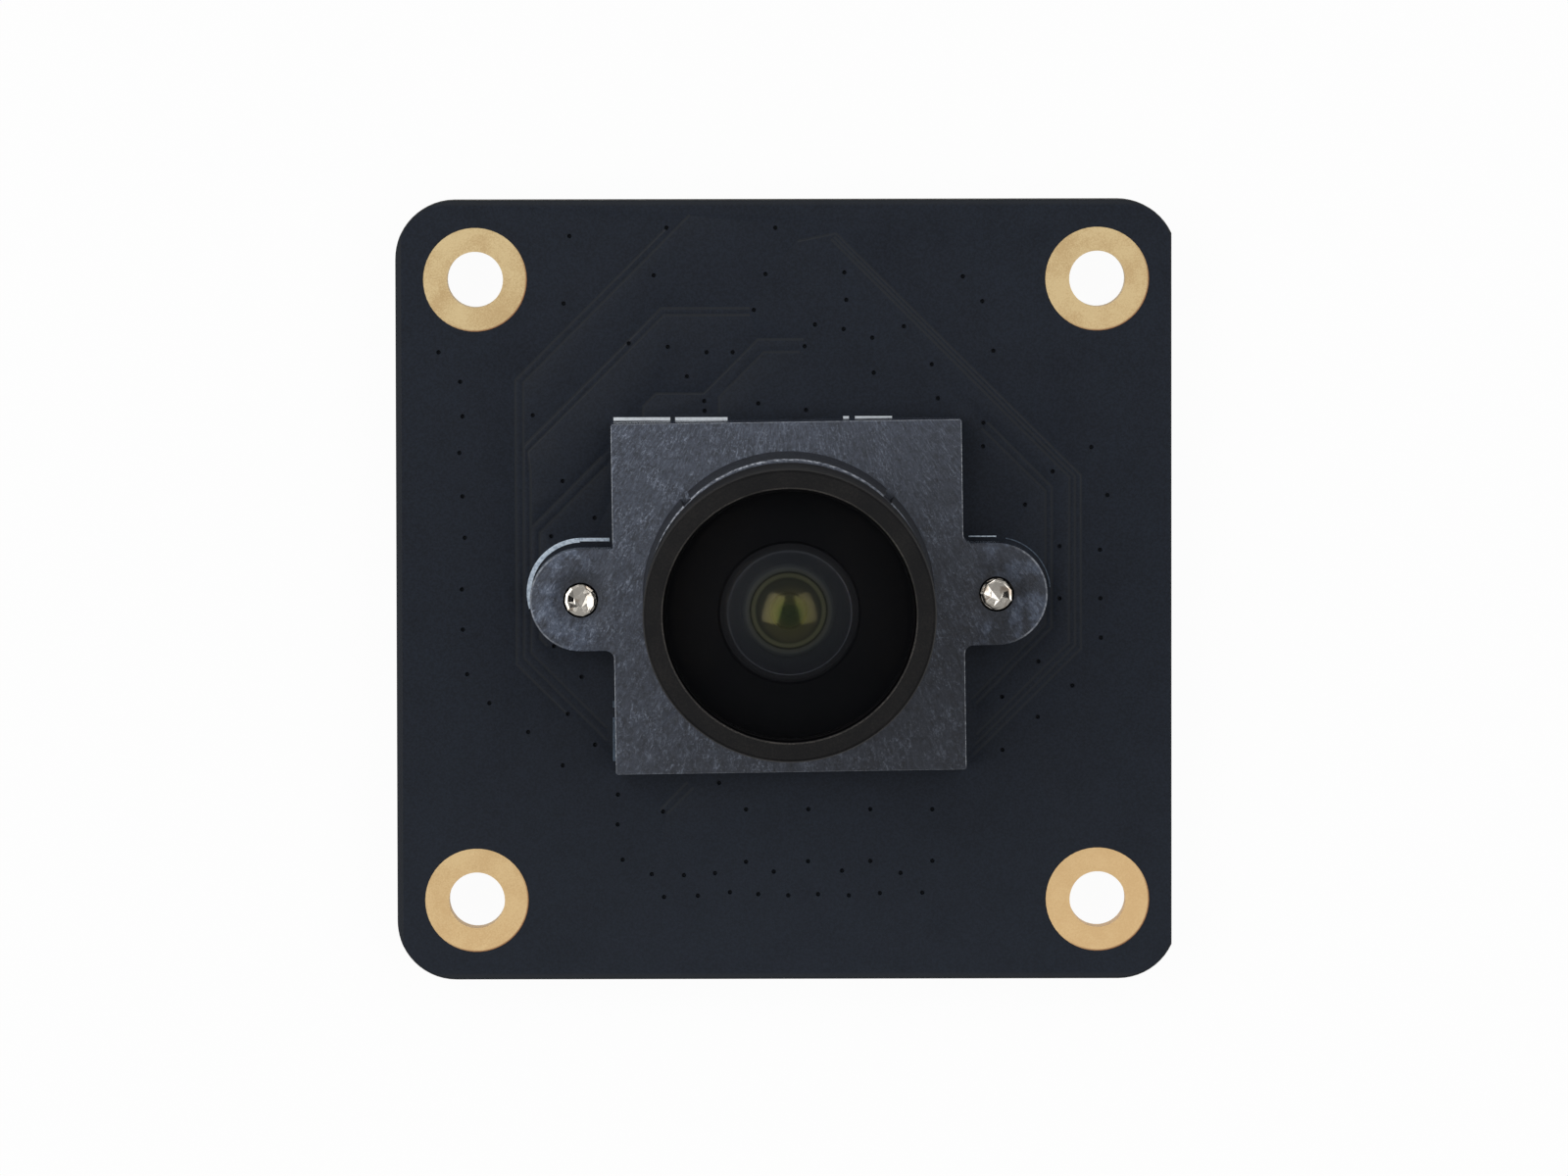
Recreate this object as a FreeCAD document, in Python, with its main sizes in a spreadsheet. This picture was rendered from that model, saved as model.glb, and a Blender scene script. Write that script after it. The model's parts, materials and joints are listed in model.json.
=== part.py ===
import FreeCAD, Part

import math
import os

import Sketcher
from FreeCAD import Placement, Rotation, Vector

# Camera module: a square circuit board with a moulded lens holder screwed on from behind,
# a turned lens in its threaded boss, and a ribbon connector under the bottom edge.
# Millimetres. The origin is the centre of the four mounting holes on the board's rear face,
# +Z is the way the lens looks, and -Y is the edge with the ribbon connector.

# Driving sizes: name, value, what it measures
SIZES = [
    ("board_side", 37.7, "square outline before the right edge is trimmed"),
    ("board_thickness", 1.6, "laminate with copper and mask"),
    ("board_corner_radius", 2.85, "outline corners"),
    ("right_edge_trim", 0.26, "taken off the right edge"),
    ("left_bevel", 0.28, "width of the bevel along the left edge"),
    ("hole_pitch", 30.0, "square pattern of the mounting holes"),
    ("mount_hole_diameter", 2.7, "clear bore of a mounting hole"),
    ("plating_thickness", 0.05, "wall and rings of the hole plating"),
    ("ring_diameter", 5.0, "copper ring round a mounting hole"),
    ("axis_x", 0.09, "optical axis, right of the hole pattern's centre"),
    ("axis_y", -0.22, "optical axis, up from the hole pattern's centre"),
    ("holder_turn", 0.75, "degrees that the holder sits turned on the board"),
    ("flange_side", 16.94, "square flange at the board"),
    ("flange_height", 2.55, "flange and lugs above the board"),
    ("flange_draft", 1.0, "degrees of mould draft on the flange walls"),
    ("flange_corner_radius", 0.15, "upright corners of the flange"),
    ("lug_span", 24.9, "over both screw lugs"),
    ("lug_width", 4.9, "across one lug"),
    ("lug_fillet_radius", 0.45, "where a lug runs into the flange"),
    ("screw_pitch", 20.0, "between the holder's screws"),
    ("boss_diameter", 14.06, "threaded boss at its foot"),
    ("boss_top_diameter", 13.6, "threaded boss at its rim"),
    ("boss_height", 3.8, "boss above the flange"),
    ("boss_rim_radius", 0.22, "rounded rim of the boss"),
    ("notch_width", 0.5, "upright notches in the boss"),
    ("notch_depth", 0.3, "into the foot of the boss"),
    ("cavity_side", 13.6, "hollow over the sensor"),
    ("cavity_height", 1.75, "hollow above the board"),
    ("cavity_corner_radius", 0.35, "upright corners of the cavity"),
    ("filter_side", 8.5, "infrared filter plate"),
    ("filter_thickness", 0.3, "infrared filter plate"),
    ("aperture_diameter", 7.2, "light opening in the holder's web"),
    ("web_thickness", 0.65, "between filter seat and threaded bore"),
    ("seat_clearance", 0.04, "round pieces dropped into a seat"),
    ("thread_diameter", 12.0, "lens thread, over the crests"),
    ("thread_clearance", 0.05, "radial play of the thread"),
    ("lens_rear_gap", 0.86, "barrel's rear end above the holder's web"),
    ("retaining_ring_setback", 0.4, "retaining ring inside the barrel's rear end"),
    ("head_diameter", 13.72, "barrel head"),
    ("head_length", 7.8, "barrel head"),
    ("rim_wall", 0.93, "wall round the front pocket"),
    ("rim_chamfer", 0.22, "outer edge of the front rim"),
    ("head_chamfer", 0.35, "rear edge of the head and lead of the thread"),
    ("relief_width", 0.6, "undercut behind the head"),
    ("relief_depth", 0.35, "undercut below the thread crests"),
    ("front_pocket_depth", 2.9, "front rim to the front lens's seat"),
    ("barrel_web", 0.8, "wall between front seat and inner bore"),
    ("throat_diameter", 6.5, "light opening of that wall"),
    ("inner_lens_diameter", 9.1, "every lens and ring behind the wall"),
    ("front_lens_setback", 0.1, "front lens's crown behind the rim"),
    ("front_lens_front_curve", 22.0, "radius of the outer face"),
    ("front_lens_rear_curve", 3.3, "radius of the hollow rear face"),
    ("front_lens_hollow", 5.9, "diameter of the hollow rear face"),
    ("second_lens_thickness", 1.5, "edge"),
    ("second_lens_crown", 6.0, "diameter of the raised front face"),
    ("second_lens_front_curve", 9.0, "radius"),
    ("second_lens_rear_curve", 2.6, "radius"),
    ("second_lens_hollow", 4.2, "diameter of the hollow rear face"),
    ("front_spacer_thickness", 1.2, "ring between second and third lens"),
    ("front_spacer_bore", 5.2, "light opening"),
    ("third_lens_thickness", 2.2, "edge"),
    ("third_lens_curve", 5.0, "radius of the raised front face"),
    ("third_lens_crown", 4.4, "diameter of the raised front face"),
    ("stop_thickness", 0.2, "aperture stop"),
    ("stop_bore", 2.2, "aperture stop"),
    ("fourth_lens_thickness", 2.2, "edge"),
    ("fourth_lens_curve", 6.0, "radius of the raised rear face"),
    ("fourth_lens_crown", 5.2, "diameter of the raised rear face"),
    ("rear_spacer_thickness", 1.6, "ring between fourth and rear lens"),
    ("rear_spacer_bore", 6.0, "light opening"),
    ("rear_lens_thickness", 1.6, "edge"),
    ("rear_lens_curve", 7.0, "radius of the raised front face"),
    ("rear_lens_crown", 4.8, "diameter of the raised front face"),
    ("retaining_ring_thickness", 1.0, "screwed in from the rear"),
    ("retaining_ring_bore", 6.0, "light opening"),
    ("spanner_slot_width", 0.8, "in the retaining ring"),
    ("spanner_slot_depth", 0.4, "in the retaining ring"),
    ("screw_diameter", 1.6, "self-tapping screw over its thread"),
    ("screw_tip_diameter", 1.5, "end of the screw"),
    ("screw_tip_length", 0.25, "taper at the end"),
    ("screw_tip_setback", 0.05, "end of the screw below the lug's face"),
    ("screw_head_diameter", 3.2, "pan head"),
    ("screw_head_height", 1.3, "pan head"),
    ("screw_head_round", 0.7, "round of the pan head"),
    ("screw_recess_width", 0.4, "arm of the cross recess"),
    ("screw_recess_span", 1.8, "over the cross recess"),
    ("screw_recess_depth", 0.6, "cross recess"),
    ("screw_hole_clearance", 0.05, "radial, in the lug"),
    ("board_screw_clearance", 0.15, "radial, in the board"),
    ("package_length", 8.6, "image sensor package along X"),
    ("package_width", 8.0, "image sensor package along Y"),
    ("package_thickness", 0.85, "image sensor package"),
    ("package_wall", 0.8, "rim of the sensor package"),
    ("package_floor", 0.3, "below the sensor die"),
    ("die_margin", 0.5, "die inside the package's well"),
    ("die_thickness", 0.2, "sensor die"),
    ("cover_glass_step", 0.35, "rim seat of the cover glass"),
    ("cover_glass_thickness", 0.4, "cover glass"),
    ("contact_count", 15, "ways of the ribbon connector"),
    ("contact_pitch", 1.0, "ribbon connector"),
    ("contact_width", 0.3, "ribbon connector"),
    ("contact_stock", 0.2, "sheet that the contacts are bent from"),
    ("contact_tail", 1.3, "solder tail outside the housing"),
    ("contact_dip", 0.2, "bump that presses on the ribbon"),
    ("contact_slot_clearance", 0.03, "round a contact in the comb"),
    ("housing_width", 20.0, "ribbon connector housing along X"),
    ("housing_depth", 4.6, "ribbon connector housing along Y"),
    ("housing_height", 2.7, "ribbon connector housing off the board"),
    ("housing_bevel", 0.25, "outer edges of the housing"),
    ("mouth_width", 16.3, "ribbon slot"),
    ("mouth_depth", 3.4, "ribbon slot"),
    ("mouth_height", 1.1, "ribbon slot"),
    ("mouth_roof", 0.7, "board to ribbon slot"),
    ("latch_edge_gap", 0.3, "board edge to the latch's outer face"),
    ("latch_depth", 1.3, "bar of the latch"),
    ("latch_height", 2.0, "bar of the latch"),
    ("latch_lip", 0.3, "finger lip along the bar"),
    ("latch_gap", 0.05, "running clearance of the latch"),
    ("latch_travel", 1.0, "pull that frees the ribbon"),
    ("tongue_thickness", 0.3, "wedge that presses the ribbon"),
    ("tongue_length", 2.9, "wedge that presses the ribbon"),
    ("arm_length", 2.8, "side arms of the latch"),
    ("arm_thickness", 0.5, "side arms of the latch"),
    ("arm_height", 1.0, "side arms of the latch"),
    ("arm_inset", 0.7, "outer side of an arm to the housing's end"),
    ("barb_length", 0.6, "hook at the end of an arm"),
    ("barb_height", 0.25, "hook at the end of an arm"),
    ("anchor_length", 1.3, "solder foot of an anchor"),
    ("anchor_width", 1.2, "anchor along Y"),
    ("anchor_stock", 0.25, "sheet of the anchors"),
    ("anchor_height", 1.5, "upright of an anchor"),
    ("anchor_inset", 0.3, "anchor from the housing's rear face"),
    ("oscillator_side_gap", 6.25, "board's side to the clock oscillator's middle"),
    ("oscillator_top_gap", 12.45, "board's upper edge to the clock oscillator's middle"),
    ("oscillator_length", 3.2, "ceramic base along X"),
    ("oscillator_width", 2.5, "ceramic base along Y"),
    ("oscillator_base_height", 0.5, "ceramic base"),
    ("oscillator_lid_inset", 0.12, "lid inside the base's outline"),
    ("oscillator_lid_height", 0.35, "metal lid"),
    ("oscillator_corner_radius", 0.3, "lid and base"),
    ("regulator_count", 3, "supply regulators in a row"),
    ("regulator_pitch", 8.0, "between regulators"),
    ("regulator_top_gap", 9.45, "board's upper edge to the row of regulators"),
    ("regulator_length", 2.9, "moulded body along X"),
    ("regulator_width", 1.6, "moulded body along Y"),
    ("regulator_height", 1.0, "moulded body"),
    ("regulator_standoff", 0.1, "body off the board"),
    ("regulator_draft", 6.0, "degrees of mould draft"),
    ("lead_pitch", 0.95, "between leads"),
    ("lead_width", 0.4, "lead"),
    ("lead_stock", 0.15, "sheet of the leads"),
    ("lead_reach", 0.62, "lead outside the body"),
    ("lead_foot", 0.3, "flat end of a lead"),
    ("lead_rise", 0.6, "lead's entry into the body off the board"),
    ("small_chip_length", 1.0, "small capacitors and resistors"),
    ("small_chip_width", 0.5, "small capacitors and resistors"),
    ("small_chip_height", 0.5, "small capacitors"),
    ("resistor_height", 0.35, "resistors"),
    ("chip_end", 0.25, "metal ends of small chips"),
    ("small_capacitor_columns", 7, "behind the sensor"),
    ("small_capacitor_pitch", 2.0, "between columns"),
    ("small_capacitor_rows_apart", 9.6, "between the two rows"),
    ("large_chip_length", 1.6, "supply capacitors"),
    ("large_chip_width", 0.8, "supply capacitors"),
    ("large_chip_height", 0.8, "supply capacitors"),
    ("large_chip_end", 0.35, "metal ends of supply capacitors"),
    ("large_chip_spread", 2.6, "between the two at a regulator"),
    ("large_chip_offset", 3.0, "row of supply capacitors beyond the regulators"),
    ("resistor_count", 8, "beside the connector"),
    ("resistor_pitch", 1.8, "between resistors"),
    ("resistor_gap", 4.0, "connector to the row of resistors"),
]

# Heights along Z
FRONT = "Sizes.board_thickness"
FLANGE_TOP = f"({FRONT} + Sizes.flange_height)"
BOSS_TOP = f"({FLANGE_TOP} + Sizes.boss_height)"
CAVITY_TOP = f"({FRONT} + Sizes.cavity_height)"
FILTER_TOP = f"({CAVITY_TOP} + Sizes.filter_thickness + Sizes.seat_clearance)"
BORE_FLOOR = f"({FILTER_TOP} + Sizes.web_thickness)"
LENS_REAR = f"({BORE_FLOOR} + Sizes.lens_rear_gap)"
RETAINING_REAR = f"({LENS_REAR} + Sizes.retaining_ring_setback)"
REAR_LENS_REAR = f"({RETAINING_REAR} + Sizes.retaining_ring_thickness)"
REAR_SPACER_REAR = f"({REAR_LENS_REAR} + Sizes.rear_lens_thickness)"
FOURTH_REAR = f"({REAR_SPACER_REAR} + Sizes.rear_spacer_thickness)"
STOP_REAR = f"({FOURTH_REAR} + Sizes.fourth_lens_thickness)"
THIRD_REAR = f"({STOP_REAR} + Sizes.stop_thickness)"
FRONT_SPACER_REAR = f"({THIRD_REAR} + Sizes.third_lens_thickness)"
SECOND_REAR = f"({FRONT_SPACER_REAR} + Sizes.front_spacer_thickness)"
INNER_SEAT = f"({SECOND_REAR} + Sizes.second_lens_thickness)"
FRONT_SEAT = f"({INNER_SEAT} + Sizes.barrel_web)"
LENS_FRONT = f"({FRONT_SEAT} + Sizes.front_pocket_depth)"
HEAD_REAR = f"({LENS_FRONT} - Sizes.head_length)"
PACKAGE_TOP = f"({FRONT} + Sizes.package_thickness)"
DIE_FLOOR = f"({FRONT} + Sizes.package_floor)"
GLASS_SEAT = f"({PACKAGE_TOP} - Sizes.cover_glass_thickness / 2)"

# Radii
BORE_RADIUS = "(Sizes.thread_diameter / 2)"
THREAD_RADIUS = f"({BORE_RADIUS} - Sizes.thread_clearance)"
INNER_BORE = "(Sizes.inner_lens_diameter / 2 + Sizes.seat_clearance)"
INNER_RIM = "(Sizes.inner_lens_diameter / 2)"
RIM_BORE = "(Sizes.head_diameter / 2 - Sizes.rim_wall)"

# Places along Y on the rear face
BOARD_EDGE = "(-Sizes.board_side / 2)"
LATCH_OUT = f"({BOARD_EDGE} + Sizes.latch_edge_gap)"
LATCH_IN = f"({LATCH_OUT} + Sizes.latch_depth)"
HOUSING_OUT = f"({LATCH_IN} + Sizes.latch_gap)"
HOUSING_IN = f"({HOUSING_OUT} + Sizes.housing_depth)"
MOUTH_END = f"({HOUSING_OUT} + Sizes.mouth_depth)"
MOUTH_FLOOR = "(-Sizes.mouth_roof - Sizes.mouth_height)"
ARM_END = f"({LATCH_IN} + Sizes.arm_length)"
ARM_OUTSIDE = "(Sizes.housing_width / 2 - Sizes.arm_inset)"
ARM_MIDDLE = "(-Sizes.housing_height / 2)"
REGULATOR_ROW = "(Sizes.board_side / 2 - Sizes.regulator_top_gap)"
RESISTOR_ROW = f"({HOUSING_IN} + Sizes.resistor_gap)"
OSCILLATOR_X = "(Sizes.board_side / 2 - Sizes.oscillator_side_gap)"
OSCILLATOR_Y = "(Sizes.board_side / 2 - Sizes.oscillator_top_gap)"

doc = FreeCAD.newDocument("CameraModule")
sheet = doc.addObject("Spreadsheet::Sheet", "Sizes")
for line, (alias, size, meaning) in enumerate(SIZES, start=1):
    sheet.set(f"A{line}", alias)
    sheet.set(f"B{line}", str(size))
    sheet.set(f"C{line}", meaning)
    sheet.setAlias(f"B{line}", alias)
doc.recompute()


def number(expression):
    """Value of an expression on the sheet, for the first guess of a sketch."""
    return float(sheet.evalExpression(expression))


def new_body(label):
    """Empty body that takes one or more solids."""
    body = doc.addObject("PartDesign::Body", label)
    body.Label = label
    body.AllowCompound = True
    return body


def origin_plane(body, role):
    """Origin plane of a body by its role."""
    return next(item for item in body.Origin.OriginFeatures if item.Role == role)


def new_sketch(body, name, plane, lift):
    """Sketch on one of the body's origin planes, moved along the plane's normal by lift."""
    sketch = body.newObject("Sketcher::SketchObject", name)
    sketch.AttachmentSupport = [(origin_plane(body, plane), "")]
    sketch.MapMode = "FlatFace"
    sketch.setExpression("AttachmentOffset.Base.z", lift)
    return sketch


def arc_between(first, second, radius, side):
    """Arc from first to second; side is 1 with its centre on the left, -1 on the right."""
    chord = second - first
    half = chord.Length / 2
    across = Vector(-chord.y, chord.x, 0).normalize()
    centre = (first + second) / 2 + across * side * math.sqrt(max(radius ** 2 - half ** 2, 0))
    start, end = (first, second) if side > 0 else (second, first)
    circle = Part.Circle(centre, Vector(0, 0, 1), radius)
    return Part.ArcOfCircle(circle, circle.parameter(start), circle.parameter(end))


def add_outline(sketch, corners, arcs=None):
    """Closed outline whose corners, and the radii of whose arcs, follow the sheet.

    arcs gives, by the number of the edge that leaves a corner, its radius and side.
    """
    arcs = arcs or {}
    first_edge = sketch.GeometryCount
    points = [Vector(number(x), number(y), 0) for x, y in corners]
    count = len(points)
    for index, point in enumerate(points):
        following = points[(index + 1) % count]
        if index in arcs:
            radius, side = arcs[index]
            sketch.addGeometry(arc_between(point, following, number(radius), side))
        else:
            sketch.addGeometry(Part.LineSegment(point, following))
    for index, (x, y) in enumerate(corners):
        edge = first_edge + index
        previous = (index - 1) % count
        start = 2 if index in arcs and arcs[index][1] < 0 else 1
        end = 1 if previous in arcs and arcs[previous][1] < 0 else 2
        sketch.addConstraint(Sketcher.Constraint("Coincident", first_edge + previous, end, edge, start))
        bind(sketch, "DistanceX", (-1, 1, edge, start), x)
        bind(sketch, "DistanceY", (-1, 1, edge, start), y)
        if index in arcs:
            bind(sketch, "Radius", (edge,), arcs[index][0])
    return sketch


def bind(sketch, kind, places, expression):
    """Dimension in a sketch, tied to the sheet."""
    added = sketch.addConstraint(Sketcher.Constraint(kind, *places, number(expression)))
    sketch.setExpression(f"Constraints[{added}]", expression)


def add_circle(sketch, x, y, radius):
    """Circle whose centre and radius follow the sheet."""
    centre = Vector(number(x), number(y), 0)
    edge = sketch.addGeometry(Part.Circle(centre, Vector(0, 0, 1), number(radius)))
    bind(sketch, "DistanceX", (-1, 1, edge, 3), x)
    bind(sketch, "DistanceY", (-1, 1, edge, 3), y)
    bind(sketch, "Radius", (edge,), radius)
    return sketch


def rectangle(left, bottom, right, top):
    """Corners of an upright rectangle."""
    return [(left, bottom), (right, bottom), (right, top), (left, top)]


def centred(width, height, x="0", y="0"):
    """Corners of a rectangle about a centre."""
    return rectangle(f"({x}) - ({width}) / 2", f"({y}) - ({height}) / 2",
                     f"({x}) + ({width}) / 2", f"({y}) + ({height}) / 2")


def rounded(width, height, radius, x="0", y="0"):
    """Corners and arcs of a rectangle with round corners about a centre."""
    half_x = f"({width}) / 2"
    half_y = f"({height}) / 2"
    corners = [
        (f"{x} - {half_x} + {radius}", f"{y} - {half_y}"),
        (f"{x} + {half_x} - {radius}", f"{y} - {half_y}"),
        (f"{x} + {half_x}", f"{y} - {half_y} + {radius}"),
        (f"{x} + {half_x}", f"{y} + {half_y} - {radius}"),
        (f"{x} + {half_x} - {radius}", f"{y} + {half_y}"),
        (f"{x} - {half_x} + {radius}", f"{y} + {half_y}"),
        (f"{x} - {half_x}", f"{y} + {half_y} - {radius}"),
        (f"{x} - {half_x}", f"{y} - {half_y} + {radius}"),
    ]
    return corners, {1: (radius, 1), 3: (radius, 1), 5: (radius, 1), 7: (radius, 1)}


def pad(body, sketch, length, draft=None, both_ways=False):
    """Pad a sketch along its normal."""
    feature = body.newObject("PartDesign::Pad", f"{sketch.Name}Pad")
    feature.Profile = sketch
    feature.setExpression("Length", length)
    feature.Midplane = both_ways
    if draft:
        feature.setExpression("TaperAngle", draft)
    body.Tip = feature
    doc.recompute()
    return feature


def pocket(body, sketch, depth=None, along_normal=False, both_ways=False):
    """Cut a sketch against its normal, along it or both ways; with no depth, right through."""
    before = body.Shape.Volume
    feature = body.newObject("PartDesign::Pocket", f"{sketch.Name}Pocket")
    feature.Profile = sketch
    feature.Reversed = along_normal
    feature.Midplane = both_ways
    if depth is None:
        feature.Type = "ThroughAll"
    else:
        feature.setExpression("Length", depth)
    body.Tip = feature
    doc.recompute()
    if body.Shape.Volume >= before:
        raise ValueError(f"{feature.Name} cuts nothing")
    return feature


def revolve(body, sketch):
    """Turn a sketch round the upright axis."""
    feature = body.newObject("PartDesign::Revolution", f"{sketch.Name}Turned")
    feature.Profile = sketch
    feature.ReferenceAxis = (sketch, ["V_Axis"])
    feature.Angle = 360
    body.Tip = feature
    doc.recompute()
    return feature


def row(body, originals, axis, count, spacing, whole=False):
    """Copies of features, or of the whole shape so far, in a row along an origin axis."""
    pattern = body.newObject("PartDesign::LinearPattern", f"{body.Name}Row")
    if whole:
        pattern.TransformMode = "Whole shape"
    else:
        pattern.Originals = originals
    pattern.Direction = (origin_plane(body, axis), [""])
    pattern.Mode = "Spacing"
    pattern.setExpression("Occurrences", count)
    pattern.setExpression("Offset", spacing)
    body.Tip = pattern
    doc.recompute()
    return pattern


def mirrored(body, originals, plane):
    """Mirror features in one of the body's origin planes."""
    feature = body.newObject("PartDesign::Mirrored", f"{body.Name}Mirrored")
    feature.Originals = originals
    feature.MirrorPlane = (origin_plane(body, plane), [""])
    body.Tip = feature
    doc.recompute()
    return feature


def edges_where(body, test):
    """Names of the edges of a body's shape whose middle passes a test."""
    found = []
    for index, edge in enumerate(body.Tip.Shape.Edges, start=1):
        if test(edge, edge.valueAt((edge.FirstParameter + edge.LastParameter) / 2)):
            found.append(f"Edge{index}")
    return found


def round_edges(body, test, radius):
    """Fillet on the edges that pass a test."""
    base = body.Tip
    names = edges_where(body, test)
    feature = body.newObject("PartDesign::Fillet", f"{body.Name}Fillet")
    feature.Base = (base, names)
    feature.setExpression("Radius", radius)
    body.Tip = feature
    doc.recompute()
    return feature


def bevel_edges(body, test, width):
    """Chamfer on the edges that pass a test."""
    base = body.Tip
    names = edges_where(body, test)
    feature = body.newObject("PartDesign::Chamfer", f"{body.Name}Chamfer")
    feature.Base = (base, names)
    feature.setExpression("Size", width)
    body.Tip = feature
    doc.recompute()
    return feature


def stand_at(body, x, y, turn=None):
    """Place a body on the board's rear plane, with its place tied to the sheet."""
    body.Placement = Placement(Vector(number(x), number(y), 0), Rotation(Vector(0, 0, 1), 1))
    body.setExpression("Placement.Base.x", x)
    body.setExpression("Placement.Base.y", y)
    body.setExpression("Placement.Rotation.Angle", turn or "0")
    doc.recompute()
    return body


def on_axis(body):
    """Place a body on the optical axis, turned as the holder is."""
    return stand_at(body, "Sizes.axis_x", "Sizes.axis_y", "Sizes.holder_turn")


def along_turn(distance, function):
    """Part of a distance along the holder's own X axis, through cos or sin."""
    return f"{distance} * {function}(Sizes.holder_turn * 1 deg)"


def make_board():
    """Board with its trimmed right edge, bevelled left edge and holes."""
    body = new_body("board")
    half = "Sizes.board_side / 2"
    radius = "Sizes.board_corner_radius"
    right = f"{half} - Sizes.right_edge_trim"
    kink = f"{half} - {radius} + sqrt({radius}^2 - ({radius} - Sizes.right_edge_trim)^2)"
    corners = [
        (f"-{half} + {radius}", f"-{half}"),
        (f"{half} - {radius}", f"-{half}"),
        (right, f"-({kink})"),
        (right, kink),
        (f"{half} - {radius}", half),
        (f"-{half} + {radius}", half),
        (f"-{half}", f"{half} - {radius}"),
        (f"-{half}", f"-{half} + {radius}"),
    ]
    arcs = {1: (radius, 1), 3: (radius, 1), 5: (radius, 1), 7: (radius, 1)}
    outline = add_outline(new_sketch(body, "BoardOutline", "XY_Plane", "0"), corners, arcs)
    pad(body, outline, FRONT)
    width = "Sizes.left_bevel"
    bevel = new_sketch(body, "LeftBevel", "XZ_Plane", "0")
    add_outline(bevel, [
        (f"-{half} - {width}", f"{FRONT} - 2 * {width}"),
        (f"-{half} + 2 * {width}", f"{FRONT} + {width}"),
        (f"-{half} - {width}", f"{FRONT} + {width}"),
    ])
    pocket(body, bevel, both_ways=True)
    holes = new_sketch(body, "BoardHoles", "XY_Plane", "0")
    for side in (-1, 1):
        for level in (-1, 1):
            add_circle(holes, f"{side} * Sizes.hole_pitch / 2", f"{level} * Sizes.hole_pitch / 2",
                       "Sizes.mount_hole_diameter / 2 + Sizes.plating_thickness")
        reach = f"{side} * Sizes.screw_pitch / 2"
        add_circle(holes, f"Sizes.axis_x + {along_turn(reach, 'cos')}",
                   f"Sizes.axis_y + {along_turn(reach, 'sin')}",
                   "Sizes.screw_diameter / 2 + Sizes.board_screw_clearance")
    pocket(body, holes, along_normal=True)
    return body


def make_ring(label, side, level):
    """Plated collar of one mounting hole: a ring on each face and the lining between."""
    body = new_body(label)
    bore = "Sizes.mount_hole_diameter / 2"
    lining = f"{bore} + Sizes.plating_thickness"
    edge = "Sizes.ring_diameter / 2"
    raised = f"{FRONT} + Sizes.plating_thickness"
    corners = [
        (bore, "-Sizes.plating_thickness"),
        (edge, "-Sizes.plating_thickness"),
        (edge, "0"),
        (lining, "0"),
        (lining, FRONT),
        (edge, FRONT),
        (edge, raised),
        (bore, raised),
    ]
    revolve(body, add_outline(new_sketch(body, f"{label}Section", "XZ_Plane", "0"), corners))
    return stand_at(body, f"{side} * Sizes.hole_pitch / 2", f"{level} * Sizes.hole_pitch / 2")


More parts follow.
